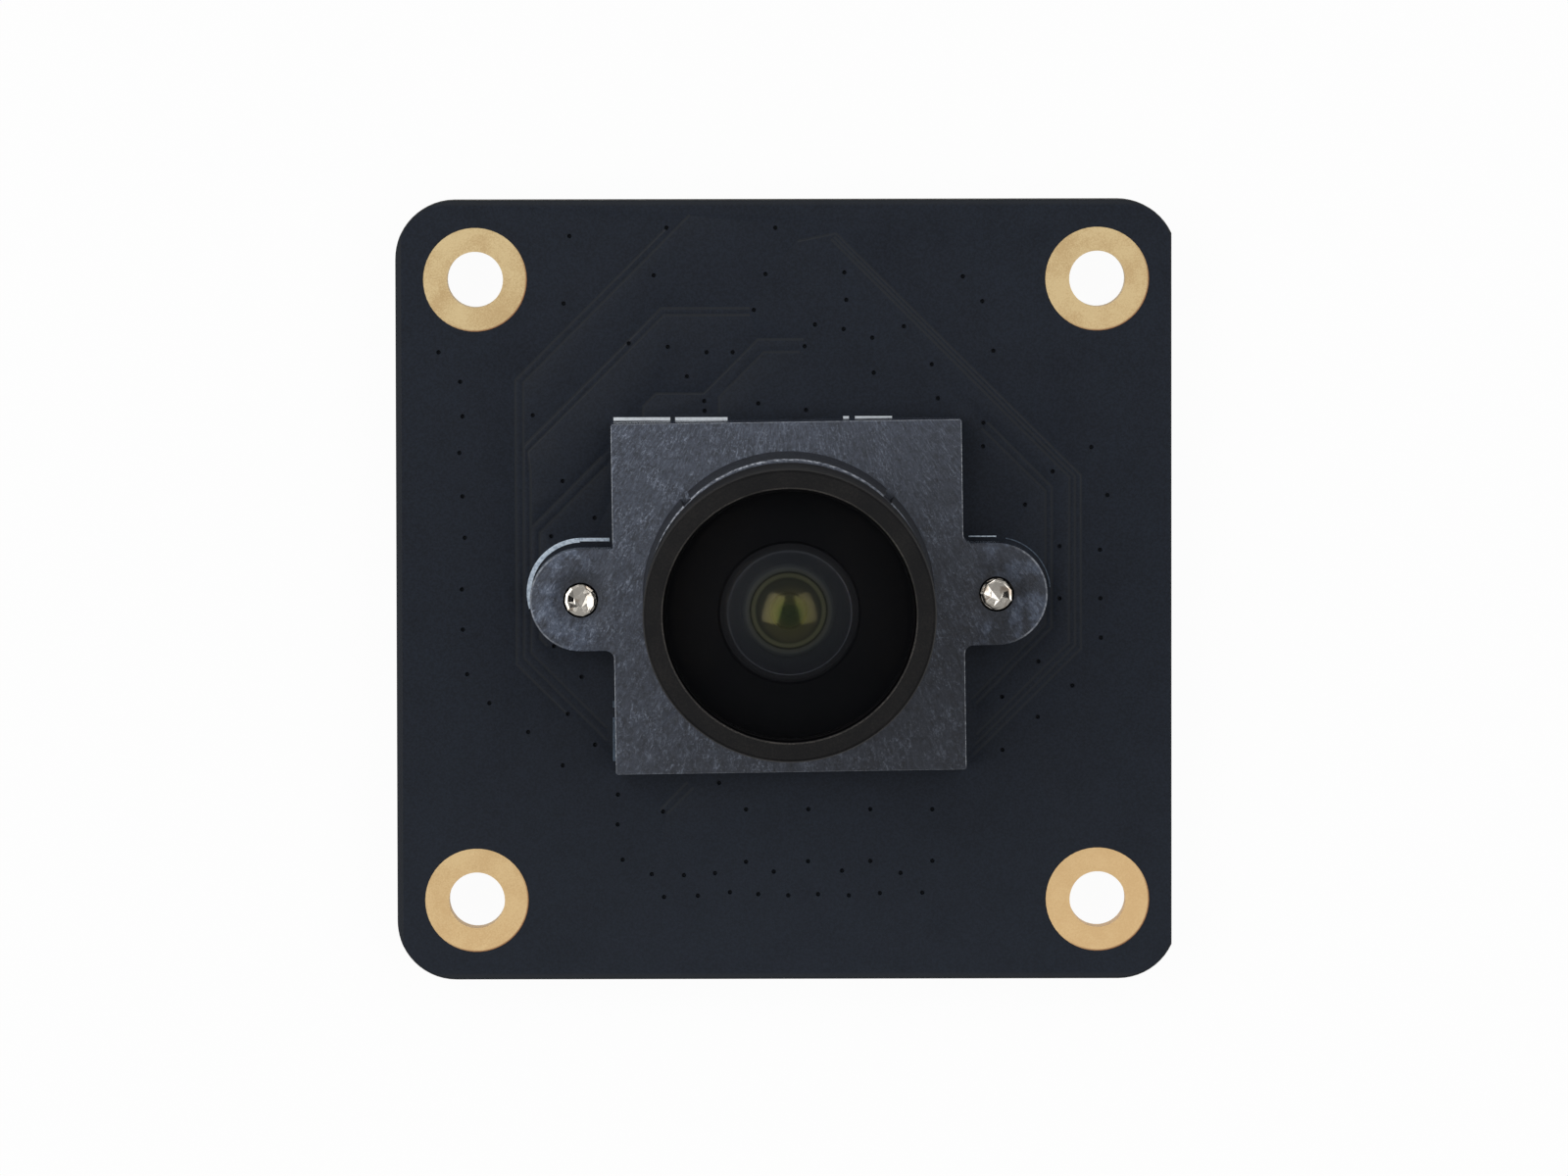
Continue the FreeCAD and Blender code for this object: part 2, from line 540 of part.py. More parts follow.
def make_holder():
    """Moulded lens holder: drafted flange, screw lugs, threaded boss and inner steps."""
    body = new_body("lens_holder")
    corners, arcs = rounded("Sizes.flange_side", "Sizes.flange_side", "Sizes.flange_corner_radius")
    flange = add_outline(new_sketch(body, "Flange", "XY_Plane", FRONT), corners, arcs)
    pad(body, flange, "Sizes.flange_height", draft="-Sizes.flange_draft")
    lug_end = "(Sizes.lug_span - Sizes.lug_width) / 2"
    lug_side = "Sizes.lug_width / 2"
    lug_corners = [
        (f"-{lug_end}", f"-{lug_side}"),
        (lug_end, f"-{lug_side}"),
        ("Sizes.lug_span / 2", "0"),
        (lug_end, lug_side),
        (f"-{lug_end}", lug_side),
        ("-Sizes.lug_span / 2", "0"),
    ]
    lug_arcs = {edge: (lug_side, 1) for edge in (1, 2, 4, 5)}
    lugs = add_outline(new_sketch(body, "Lugs", "XY_Plane", FRONT), lug_corners, lug_arcs)
    pad(body, lugs, "Sizes.flange_height")
    side = number("Sizes.flange_side / 2")
    middle_height = number(f"{FRONT} + Sizes.flange_height / 2")
    lug_half = number(lug_side)

    def is_lug_root(edge, middle):
        """Upright edge where a lug leaves the flange, apart from the sharp upper left one."""
        upright = abs(middle.z - middle_height) < 0.01
        at_root = abs(abs(middle.x) - side) < 0.1 and abs(abs(middle.y) - lug_half) < 0.01
        return upright and at_root and not (middle.x < 0 < middle.y)

    round_edges(body, is_lug_root, "Sizes.lug_fillet_radius")
    boss = add_circle(new_sketch(body, "Boss", "XY_Plane", FLANGE_TOP), "0", "0",
                      "Sizes.boss_diameter / 2")
    lean = "-atan((Sizes.boss_diameter - Sizes.boss_top_diameter) / 2 / Sizes.boss_height)"
    pad(body, boss, "Sizes.boss_height", draft=lean)
    rim = number(BOSS_TOP)
    round_edges(body, lambda edge, middle: abs(middle.z - rim) < 0.01, "Sizes.boss_rim_radius")
    cut_notches(body)
    bore = add_circle(new_sketch(body, "Bore", "XY_Plane", BOSS_TOP), "0", "0", BORE_RADIUS)
    pocket(body, bore, f"{BOSS_TOP} - {BORE_FLOOR}")
    opening = add_circle(new_sketch(body, "Opening", "XY_Plane", BORE_FLOOR), "0", "0",
                         "Sizes.aperture_diameter / 2")
    pocket(body, opening)
    corners, arcs = rounded("Sizes.cavity_side", "Sizes.cavity_side", "Sizes.cavity_corner_radius")
    cavity = add_outline(new_sketch(body, "Cavity", "XY_Plane", FRONT), corners, arcs)
    pocket(body, cavity, "Sizes.cavity_height", along_normal=True)
    seat_side = "(Sizes.filter_side + 2 * Sizes.seat_clearance)"
    seat = add_outline(new_sketch(body, "FilterSeat", "XY_Plane", CAVITY_TOP),
                       centred(seat_side, seat_side))
    pocket(body, seat, f"{FILTER_TOP} - {CAVITY_TOP}", along_normal=True)
    holes = new_sketch(body, "LugHoles", "XY_Plane", FRONT)
    for direction in (-1, 1):
        add_circle(holes, f"{direction} * Sizes.screw_pitch / 2", "0",
                   "Sizes.screw_diameter / 2 + Sizes.screw_hole_clearance")
    pocket(body, holes, "Sizes.flange_height", along_normal=True)
    return on_axis(body)


def cut_notches(body):
    """Four upright notches round the boss, halfway between the flange's sides."""
    outside = "Sizes.boss_diameter / 2"
    half = "Sizes.notch_width / 2"
    section = new_sketch(body, "Notch", "XY_Plane", BOSS_TOP)
    section.AttachmentOffset = Placement(Vector(0, 0, 0), Rotation(Vector(0, 0, 1), 45))
    section.setExpression("AttachmentOffset.Base.z", BOSS_TOP)
    add_outline(section, rectangle(f"{outside} - Sizes.notch_depth", f"-{half}",
                                   f"{outside} + Sizes.notch_depth", half))
    cut = pocket(body, section, "Sizes.boss_height")
    pattern = body.newObject("PartDesign::PolarPattern", "Notches")
    pattern.Originals = [cut]
    pattern.Axis = (origin_plane(body, "Z_Axis"), [""])
    pattern.Angle = 360
    pattern.Occurrences = 4
    body.Tip = pattern
    doc.recompute()


def make_filter():
    """Infrared filter plate glued into the seat under the holder's web."""
    body = new_body("infrared_filter")
    plate = add_outline(new_sketch(body, "FilterPlate", "XY_Plane",
                                   f"{FILTER_TOP} - Sizes.filter_thickness"),
                        centred("Sizes.filter_side", "Sizes.filter_side"))
    pad(body, plate, "Sizes.filter_thickness")
    return on_axis(body)


def turned(label, corners, arcs=None):
    """Body turned round the optical axis from a half section of radii and heights."""
    body = new_body(label)
    revolve(body, add_outline(new_sketch(body, f"{label}Section", "XZ_Plane", "0"), corners, arcs))
    return on_axis(body)


def bulge(curve, diameter):
    """Height of a round face over its edge."""
    return f"({curve} - sqrt({curve}^2 - ({diameter} / 2)^2))"


def make_barrel():
    """Barrel: thread, undercut, head with bevelled rim, front pocket, web and inner bore."""
    head = "Sizes.head_diameter / 2"
    relief = f"{THREAD_RADIUS} - Sizes.relief_depth"
    throat = "Sizes.throat_diameter / 2"
    corners = [
        (INNER_BORE, LENS_REAR),
        (f"{THREAD_RADIUS} - Sizes.head_chamfer", LENS_REAR),
        (THREAD_RADIUS, f"{LENS_REAR} + Sizes.head_chamfer"),
        (THREAD_RADIUS, f"{HEAD_REAR} - Sizes.relief_width - Sizes.relief_depth"),
        (relief, f"{HEAD_REAR} - Sizes.relief_width"),
        (relief, HEAD_REAR),
        (f"{head} - Sizes.head_chamfer", HEAD_REAR),
        (head, f"{HEAD_REAR} + Sizes.head_chamfer"),
        (head, f"{LENS_FRONT} - Sizes.rim_chamfer"),
        (f"{head} - Sizes.rim_chamfer", LENS_FRONT),
        (RIM_BORE, LENS_FRONT),
        (RIM_BORE, FRONT_SEAT),
        (throat, FRONT_SEAT),
        (throat, INNER_SEAT),
        (INNER_BORE, INNER_SEAT),
    ]
    return turned("lens_barrel", corners)


def make_front_lens():
    """Front glass: gently domed in front, a small deep hollow and a flat flange behind."""
    rim = f"({RIM_BORE} - Sizes.seat_clearance)"
    crown = f"({LENS_FRONT} - Sizes.front_lens_setback)"
    hollow = "Sizes.front_lens_hollow / 2"
    drop = bulge("Sizes.front_lens_front_curve", f"(2 * {rim})")
    rise = bulge("Sizes.front_lens_rear_curve", "Sizes.front_lens_hollow")
    corners = [
        ("0", f"{FRONT_SEAT} + {rise}"),
        (hollow, FRONT_SEAT),
        (rim, FRONT_SEAT),
        (rim, f"{crown} - {drop}"),
        ("0", crown),
    ]
    arcs = {0: ("Sizes.front_lens_rear_curve", -1), 3: ("Sizes.front_lens_front_curve", 1)}
    return turned("front_lens", corners, arcs)


def make_second_lens():
    """Second glass: a low dome that rises into the throat and a hollow rear face."""
    crown = "Sizes.second_lens_crown / 2"
    hollow = "Sizes.second_lens_hollow / 2"
    rise = bulge("Sizes.second_lens_front_curve", "Sizes.second_lens_crown")
    depth = bulge("Sizes.second_lens_rear_curve", "Sizes.second_lens_hollow")
    corners = [
        ("0", f"{SECOND_REAR} + {depth}"),
        (hollow, SECOND_REAR),
        (INNER_RIM, SECOND_REAR),
        (INNER_RIM, INNER_SEAT),
        (crown, INNER_SEAT),
        ("0", f"{INNER_SEAT} + {rise}"),
    ]
    arcs = {0: ("Sizes.second_lens_rear_curve", -1), 4: ("Sizes.second_lens_front_curve", 1)}
    return turned("second_lens", corners, arcs)


def front_domed_lens(label, rear, front, curve, crown):
    """Inner glass with a dome in front and a flat rear face."""
    rise = bulge(curve, crown)
    corners = [
        ("0", rear),
        (INNER_RIM, rear),
        (INNER_RIM, front),
        (f"{crown} / 2", front),
        ("0", f"{front} + {rise}"),
    ]
    return turned(label, corners, {3: (curve, 1)})


def make_third_lens():
    """Third glass, its dome inside the front spacer."""
    return front_domed_lens("third_lens", THIRD_REAR, FRONT_SPACER_REAR,
                            "Sizes.third_lens_curve", "Sizes.third_lens_crown")


def make_rear_lens():
    """Rear glass, its dome inside the rear spacer."""
    return front_domed_lens("rear_lens", REAR_LENS_REAR, REAR_SPACER_REAR,
                            "Sizes.rear_lens_curve", "Sizes.rear_lens_crown")


def make_fourth_lens():
    """Fourth glass: flat against the stop, domed to the rear."""
    curve = "Sizes.fourth_lens_curve"
    crown = "Sizes.fourth_lens_crown"
    corners = [
        ("0", f"{FOURTH_REAR} - {bulge(curve, crown)}"),
        (f"{crown} / 2", FOURTH_REAR),
        (INNER_RIM, FOURTH_REAR),
        (INNER_RIM, STOP_REAR),
        ("0", STOP_REAR),
    ]
    return turned("fourth_lens", corners, {0: (curve, 1)})


def make_washer(label, bore, rear, front):
    """Flat ring of the inner stack."""
    corners = rectangle(f"{bore} / 2", rear, INNER_RIM, front)
    return turned(label, corners)


def make_retaining_ring():
    """Ring screwed in behind the rear lens, with two spanner slots."""
    body = make_washer("retaining_ring", "Sizes.retaining_ring_bore", RETAINING_REAR, REAR_LENS_REAR)
    slots = add_outline(new_sketch(body, "SpannerSlots", "XY_Plane", RETAINING_REAR),
                        centred("Sizes.inner_lens_diameter * 2", "Sizes.spanner_slot_width"))
    pocket(body, slots, "Sizes.spanner_slot_depth", along_normal=True)
    return body


def make_screws():
    """Two pan head screws from behind, their tips level with the lugs' faces."""
    body = new_body("holder_screws")
    head = "Sizes.screw_head_diameter / 2"
    drop = "Sizes.screw_head_height"
    curve = "Sizes.screw_head_round"
    shank = "Sizes.screw_diameter / 2"
    tip = f"({FLANGE_TOP} - Sizes.screw_tip_setback)"
    corners = [
        ("0", f"-{drop}"),
        (f"{head} - {curve}", f"-{drop}"),
        (head, f"-{drop} + {curve}"),
        (head, "0"),
        (shank, "0"),
        (shank, f"{tip} - Sizes.screw_tip_length"),
        ("Sizes.screw_tip_diameter / 2", tip),
        ("0", tip),
    ]
    section = add_outline(new_sketch(body, "ScrewSection", "XZ_Plane", "0"), corners, {1: (curve, 1)})
    turned_screw = revolve(body, section)
    arm = "Sizes.screw_recess_width"
    span = "Sizes.screw_recess_span"
    recesses = []
    for name, wide, high in (("RecessAcross", span, arm), ("RecessUp", arm, span)):
        cross = add_outline(new_sketch(body, name, "XY_Plane", f"-{drop}"), centred(wide, high))
        recesses.append(pocket(body, cross, "Sizes.screw_recess_depth", along_normal=True))
    row(body, [turned_screw] + recesses, "X_Axis", "2", "Sizes.screw_pitch")
    half = "-Sizes.screw_pitch / 2"
    return stand_at(body, f"Sizes.axis_x + {along_turn(half, 'cos')}",
                    f"Sizes.axis_y + {along_turn(half, 'sin')}", "Sizes.holder_turn")


def make_package():
    """Image sensor package: a tray with a well for the die and a step for the glass."""
    body = new_body("sensor_package")
    length = "Sizes.package_length"
    width = "Sizes.package_width"
    tray = add_outline(new_sketch(body, "Tray", "XY_Plane", FRONT), centred(length, width))
    pad(body, tray, "Sizes.package_thickness")
    step = new_sketch(body, "GlassStep", "XY_Plane", PACKAGE_TOP)
    add_outline(step, centred(f"{length} - 2 * Sizes.cover_glass_step",
                              f"{width} - 2 * Sizes.cover_glass_step"))
    pocket(body, step, f"{PACKAGE_TOP} - {GLASS_SEAT}")
    well = new_sketch(body, "Well", "XY_Plane", GLASS_SEAT)
    add_outline(well, centred(f"{length} - 2 * Sizes.package_wall",
                              f"{width} - 2 * Sizes.package_wall"))
    pocket(body, well, f"{GLASS_SEAT} - {DIE_FLOOR}")
    return on_axis(body)


def make_die():
    """Image sensor die on the floor of the well."""
    body = new_body("sensor_die")
    margin = "2 * (Sizes.package_wall + Sizes.die_margin)"
    plate = add_outline(new_sketch(body, "Die", "XY_Plane", DIE_FLOOR),
                        centred(f"Sizes.package_length - {margin}", f"Sizes.package_width - {margin}"))
    pad(body, plate, "Sizes.die_thickness")
    return on_axis(body)


def make_cover_glass():
    """Cover glass on the step of the sensor package."""
    body = new_body("sensor_cover_glass")
    margin = "2 * (Sizes.cover_glass_step + Sizes.seat_clearance)"
    plate = add_outline(new_sketch(body, "CoverGlass", "XY_Plane", GLASS_SEAT),
                        centred(f"Sizes.package_length - {margin}", f"Sizes.package_width - {margin}"))
    pad(body, plate, "Sizes.cover_glass_thickness")
    return on_axis(body)


def first_of(count, pitch):
    """Place of the first of a row that is centred on zero."""
    return f"(-({count} - 1) * {pitch} / 2)"


def make_housing():
    """Ribbon connector housing: ribbon mouth, comb of contact slots, latch channels, windows."""
    body = new_body("ribbon_connector_housing")
    block = new_sketch(body, "Block", "XZ_Plane", f"-{HOUSING_OUT}")
    add_outline(block, rectangle("-Sizes.housing_width / 2", "-Sizes.housing_height",
                                 "Sizes.housing_width / 2", "0"))
    feature = pad(body, block, "Sizes.housing_depth")
    feature.Reversed = True
    doc.recompute()
    low = number("-Sizes.housing_height")
    bevel_edges(body, lambda edge, middle: abs(middle.z - low) < 0.01, "Sizes.housing_bevel")
    mouth = new_sketch(body, "Mouth", "XZ_Plane", f"-{HOUSING_OUT}")
    add_outline(mouth, rectangle("-Sizes.mouth_width / 2", MOUTH_FLOOR,
                                 "Sizes.mouth_width / 2", "-Sizes.mouth_roof"))
    pocket(body, mouth, "Sizes.mouth_depth")
    slot_depth = "Sizes.mouth_roof + Sizes.contact_stock + 2 * Sizes.contact_slot_clearance"
    comb = new_sketch(body, "CombSlot", "XY_Plane", "0")
    slot_width = "(Sizes.contact_width + 2 * Sizes.contact_slot_clearance)"
    start = first_of("Sizes.contact_count", "Sizes.contact_pitch")
    add_outline(comb, rectangle(f"{start} - {slot_width} / 2", MOUTH_END,
                                f"{start} + {slot_width} / 2", HOUSING_IN))
    slot = pocket(body, comb, slot_depth)
    row(body, [slot], "X_Axis", "Sizes.contact_count", "Sizes.contact_pitch")
    clearance = "Sizes.latch_gap"
    inner = f"{ARM_OUTSIDE} - Sizes.arm_thickness - {clearance}"
    outer = f"{ARM_OUTSIDE} + {clearance}"
    half_arm = f"(Sizes.arm_height / 2 + {clearance})"
    channel = new_sketch(body, "Channel", "XZ_Plane", f"-{HOUSING_OUT}")
    add_outline(channel, rectangle(inner, f"{ARM_MIDDLE} - {half_arm}",
                                   outer, f"{ARM_MIDDLE} + {half_arm}"))
    channel_cut = pocket(body, channel, "Sizes.arm_length + 2 * Sizes.latch_gap")
    window = new_sketch(body, "Window", "YZ_Plane", "Sizes.housing_width / 2")
    window_far = f"{ARM_END} + {clearance}"
    window_near = f"{ARM_END} - Sizes.barb_length - Sizes.latch_travel - {clearance}"
    add_outline(window, rectangle(window_near, f"{ARM_MIDDLE} - {half_arm}",
                                  window_far, f"{ARM_MIDDLE} + {half_arm}"))
    window_cut = pocket(body, window, "Sizes.arm_inset")
    mirrored(body, [channel_cut, window_cut], "YZ_Plane")
    return body


def make_latch():
    """Slide latch: bar with a finger lip, ribbon wedge and two hooked side arms."""
    body = new_body("ribbon_connector_latch")
    half_width = "Sizes.housing_width / 2"
    bar = new_sketch(body, "Bar", "YZ_Plane", f"-{half_width}")
    low = f"({ARM_MIDDLE} - Sizes.latch_height / 2)"
    high = f"({ARM_MIDDLE} + Sizes.latch_height / 2)"
    bar_face = f"{LATCH_OUT} + Sizes.latch_lip"
    add_outline(bar, [
        (LATCH_OUT, low),
        (LATCH_IN, low),
        (LATCH_IN, high),
        (bar_face, high),
        (bar_face, f"{low} + 2 * Sizes.latch_lip"),
        (LATCH_OUT, f"{low} + Sizes.latch_lip"),
    ])
    pad(body, bar, "Sizes.housing_width")
    floor = f"({MOUTH_FLOOR} + Sizes.latch_gap)"
    tongue = new_sketch(body, "Tongue", "XY_Plane", floor)
    half_mouth = "(Sizes.mouth_width / 2 - Sizes.latch_gap)"
    add_outline(tongue, rectangle(f"-{half_mouth}", LATCH_IN, half_mouth,
                                  f"{LATCH_IN} + Sizes.tongue_length"))
    pad(body, tongue, "Sizes.tongue_thickness")
    arm = new_sketch(body, "Arm", "XY_Plane", f"{ARM_MIDDLE} - Sizes.arm_height / 2")
    inner = f"{ARM_OUTSIDE} - Sizes.arm_thickness"
    barb = f"{ARM_OUTSIDE} + Sizes.barb_height"
    add_outline(arm, [
        (inner, LATCH_IN),
        (ARM_OUTSIDE, LATCH_IN),
        (ARM_OUTSIDE, f"{ARM_END} - Sizes.barb_length"),
        (barb, f"{ARM_END} - Sizes.barb_length"),
        (ARM_OUTSIDE, ARM_END),
        (inner, ARM_END),
    ])
    arm_pad = pad(body, arm, "Sizes.arm_height")
    mirrored(body, [arm_pad], "YZ_Plane")
    return body


def make_contacts():
    """Row of bent contacts: solder tail, rise inside the comb, beam and pressing bump."""
    body = new_body("ribbon_connector_contacts")
    stock = "Sizes.contact_stock"
    roof = "(-Sizes.mouth_roof - Sizes.contact_slot_clearance)"
    under = f"({roof} - {stock})"
    tip = f"{HOUSING_OUT} + {stock}"
    start = first_of("Sizes.contact_count", "Sizes.contact_pitch")
    section = new_sketch(body, "ContactSection", "YZ_Plane", start)
    add_outline(section, [
        (f"{HOUSING_IN} + Sizes.contact_tail", f"-{stock}"),
        (f"{HOUSING_IN} + Sizes.contact_tail", "0"),
        (f"{HOUSING_IN} - {stock}", "0"),
        (f"{HOUSING_IN} - 3 * {stock}", roof),
        (f"{tip} + 6 * {stock}", roof),
        (f"{tip} + 2.5 * {stock}", f"{roof} - Sizes.contact_dip"),
        (tip, f"{roof}"),
        (tip, f"{under}"),
        (f"{tip} + 2.5 * {stock}", f"{under} - Sizes.contact_dip"),
        (f"{tip} + 6 * {stock}", under),
        (f"{HOUSING_IN} - 3.6 * {stock}", under),
        (f"{HOUSING_IN} - 1.4 * {stock}", f"-{stock}"),
    ])
    blade = pad(body, section, "Sizes.contact_width", both_ways=True)
    row(body, [blade], "X_Axis", "Sizes.contact_count", "Sizes.contact_pitch")
    return body


def make_anchors():
    """Solder anchors at the housing's two ends."""
    body = new_body("ribbon_connector_anchors")
    end = "Sizes.housing_width / 2"
    stock = "Sizes.anchor_stock"
    section = new_sketch(body, "AnchorSection", "XZ_Plane", f"-({HOUSING_IN} - Sizes.anchor_inset)")
    add_outline(section, [
        (end, "0"),
        (end, "-Sizes.anchor_height"),
        (f"{end} + {stock}", "-Sizes.anchor_height"),
        (f"{end} + {stock}", f"-{stock}"),
        (f"{end} + Sizes.anchor_length", f"-{stock}"),
        (f"{end} + Sizes.anchor_length", "0"),
    ])
    angle = pad(body, section, "Sizes.anchor_width")
    mirrored(body, [angle], "YZ_Plane")
    return body


def make_oscillator_base():
    """Ceramic base of the clock oscillator."""
    body = new_body("oscillator_base")
    corners, arcs = rounded("Sizes.oscillator_length", "Sizes.oscillator_width",
                            "Sizes.oscillator_corner_radius")
    plate = add_outline(new_sketch(body, "OscillatorBase", "XY_Plane",
                                   "-Sizes.oscillator_base_height"), corners, arcs)
    pad(body, plate, "Sizes.oscillator_base_height")
    return stand_at(body, OSCILLATOR_X, OSCILLATOR_Y)


def make_oscillator_lid():
    """Metal lid seam-welded to the oscillator's base."""
    body = new_body("oscillator_lid")
    inset = "2 * Sizes.oscillator_lid_inset"
    corners, arcs = rounded(f"(Sizes.oscillator_length - {inset})",
                            f"(Sizes.oscillator_width - {inset})",
                            "Sizes.oscillator_corner_radius")
    lid = add_outline(new_sketch(body, "OscillatorLid", "XY_Plane",
                                 "-Sizes.oscillator_base_height - Sizes.oscillator_lid_height"),
                      corners, arcs)
    pad(body, lid, "Sizes.oscillator_lid_height")
    return stand_at(body, OSCILLATOR_X, OSCILLATOR_Y)


def make_regulators():
    """Moulded bodies of the three supply regulators."""
    body = new_body("regulators")
    start = first_of("Sizes.regulator_count", "Sizes.regulator_pitch")
    foot = new_sketch(body, "RegulatorBody", "XY_Plane",
                      "-Sizes.regulator_standoff - Sizes.regulator_height")
    shrink = "Sizes.regulator_height * tan(Sizes.regulator_draft * 1 deg)"
    add_outline(foot, centred(f"Sizes.regulator_length - 2 * {shrink}",
                              f"Sizes.regulator_width - 2 * {shrink}", start))
    block = pad(body, foot, "Sizes.regulator_height", draft="Sizes.regulator_draft")
    row(body, [block], "X_Axis", "Sizes.regulator_count", "Sizes.regulator_pitch")
    return stand_at(body, "0", REGULATOR_ROW)


def lead_corners(direction):
    """Section of a gull-wing lead on one side of a regulator."""
    wall = f"{direction} * Sizes.regulator_width / 2"
    end = f"{wall} + {direction} * Sizes.lead_reach"
    heel = f"{end} - {direction} * Sizes.lead_foot"
    rise = "-Sizes.lead_rise"
    stock = "Sizes.lead_stock"
    return [
        (end, "0"),
        (end, f"-{stock}"),
        (heel, f"-{stock}"),
        (f"{wall} + {direction} * {stock}", f"{rise} - {stock}"),
        (wall, f"{rise} - {stock}"),
        (wall, rise),
        (heel, "0"),
    ]


def make_leads():
    """Gull-wing leads: three on one side of each regulator and two on the other."""
    body = new_body("regulator_leads")
    start = first_of("Sizes.regulator_count", "Sizes.regulator_pitch")
    three = new_sketch(body, "ThreeLeads", "YZ_Plane", f"{start} - Sizes.lead_pitch")
    add_outline(three, lead_corners(-1))
    lead = pad(body, three, "Sizes.lead_width", both_ways=True)
    row(body, [lead], "X_Axis", "3", "Sizes.lead_pitch")
    two = new_sketch(body, "TwoLeads", "YZ_Plane", f"{start} - Sizes.lead_pitch")
    add_outline(two, lead_corners(1))
    lead = pad(body, two, "Sizes.lead_width", both_ways=True)
    row(body, [lead], "X_Axis", "2", "2 * Sizes.lead_pitch")
    row(body, [], "X_Axis", "Sizes.regulator_count", "Sizes.regulator_pitch", whole=True)
    return stand_at(body, "0", REGULATOR_ROW)


def chip_body(sketch, length, width, end, x, y):
    """Plan of a chip part between its metal ends, its length along Y."""
    add_outline(sketch, centred(width, f"({length} - 2 * {end})", x, y))


def chip_ends(sketch, length, width, end, x, y):
    """Plan of a chip part's two metal ends."""
    for side in (-1, 1):
        add_outline(sketch, centred(width, end, x, f"{y} + {side} * ({length} - {end}) / 2"))


def make_small_capacitors(label, plan):
    """Two rows of small capacitors behind the sensor; plan draws the bodies or the ends."""
    body = new_body(label)
    section = new_sketch(body, f"{label}Plan", "XY_Plane", "-Sizes.small_chip_height")
    x = first_of("Sizes.small_capacitor_columns", "Sizes.small_capacitor_pitch")
    plan(section, "Sizes.small_chip_length", "Sizes.small_chip_width", "Sizes.chip_end", x,
         "-Sizes.small_capacitor_rows_apart / 2")
    chip = pad(body, section, "Sizes.small_chip_height")
    row(body, [chip], "X_Axis", "Sizes.small_capacitor_columns", "Sizes.small_capacitor_pitch")
    row(body, [], "Y_Axis", "2", "Sizes.small_capacitor_rows_apart", whole=True)
    return body


def make_large_capacitors(label, plan):
    """Two supply capacitors beyond each regulator; plan draws the bodies or the ends."""
    body = new_body(label)
    section = new_sketch(body, f"{label}Plan", "XY_Plane", "-Sizes.large_chip_height")
    start = first_of("Sizes.regulator_count", "Sizes.regulator_pitch")
    plan(section, "Sizes.large_chip_length", "Sizes.large_chip_width", "Sizes.large_chip_end",
         f"({start} - Sizes.large_chip_spread / 2)", "0")
    chip = pad(body, section, "Sizes.large_chip_height")
    row(body, [chip], "X_Axis", "2", "Sizes.large_chip_spread")
    row(body, [], "X_Axis", "Sizes.regulator_count", "Sizes.regulator_pitch", whole=True)
    return stand_at(body, "0", f"{REGULATOR_ROW} + Sizes.large_chip_offset")


def make_resistors(label, plan):
    """Row of resistors beside the connector; plan draws the bodies or the ends."""
    body = new_body(label)
    section = new_sketch(body, f"{label}Plan", "XY_Plane", "-Sizes.resistor_height")
    plan(section, "Sizes.small_chip_length", "Sizes.small_chip_width", "Sizes.chip_end",
         first_of("Sizes.resistor_count", "Sizes.resistor_pitch"), "0")
    chip = pad(body, section, "Sizes.resistor_height")
    row(body, [chip], "X_Axis", "Sizes.resistor_count", "Sizes.resistor_pitch")
    return stand_at(body, "0", RESISTOR_ROW)


def make_all():
    """Every sub-part of the module, in the order of assembly."""
    return [
        make_board(),
        make_ring("mount_ring_top_left", -1, 1),
        make_ring("mount_ring_top_right", 1, 1),
        make_ring("mount_ring_bottom_left", -1, -1),
        make_ring("mount_ring_bottom_right", 1, -1),
        make_package(),
        make_die(),
        make_cover_glass(),
        make_holder(),
        make_filter(),
        make_screws(),
        make_barrel(),
        make_front_lens(),
        make_second_lens(),
        make_washer("front_spacer", "Sizes.front_spacer_bore", FRONT_SPACER_REAR, SECOND_REAR),
        make_third_lens(),
        make_washer("aperture_stop", "Sizes.stop_bore", STOP_REAR, THIRD_REAR),
        make_fourth_lens(),
        make_washer("rear_spacer", "Sizes.rear_spacer_bore", REAR_SPACER_REAR, FOURTH_REAR),
        make_rear_lens(),
        make_retaining_ring(),
        make_housing(),
        make_contacts(),
        make_anchors(),
        make_latch(),
        make_oscillator_base(),
        make_oscillator_lid(),
        make_regulators(),
        make_leads(),
        make_small_capacitors("small_capacitors", chip_body),
        make_small_capacitors("small_capacitor_ends", chip_ends),
        make_large_capacitors("large_capacitors", chip_body),
        make_large_capacitors("large_capacitor_ends", chip_ends),
        make_resistors("resistors", chip_body),
        make_resistors("resistor_ends", chip_ends),
    ]


def check_and_export(parts):
    """Stop at anything that failed, then write each sub-part to its own file."""
    doc.recompute()
    for item in doc.Objects:
        if "Invalid" in item.State or "Error" in item.State:
            raise ValueError(f"{item.Name} failed: {item.State}")
    os.makedirs("parts", exist_ok=True)
    for body in parts:
        shape = body.Shape
        if shape.isNull() or not shape.isValid():
            raise ValueError(f"{body.Label} has no valid shape")
        shape.exportStep(f"parts/{body.Label}.step")
        print(f"{body.Label}: {len(shape.Solids)} solids, {shape.Volume:.3f} mm3")


check_and_export(make_all())
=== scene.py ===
"""Looks of a camera module: a dark circuit board with a moulded lens holder, a turned lens with
coated glass, the ends of two screws, and a ribbon connector among small parts on the rear face."""
import json
import logging
import math
from collections.abc import Iterator, Sequence
from contextlib import contextmanager
from dataclasses import dataclass
from enum import Enum

import bmesh
import bpy
from mathutils import Euler, Matrix, Vector


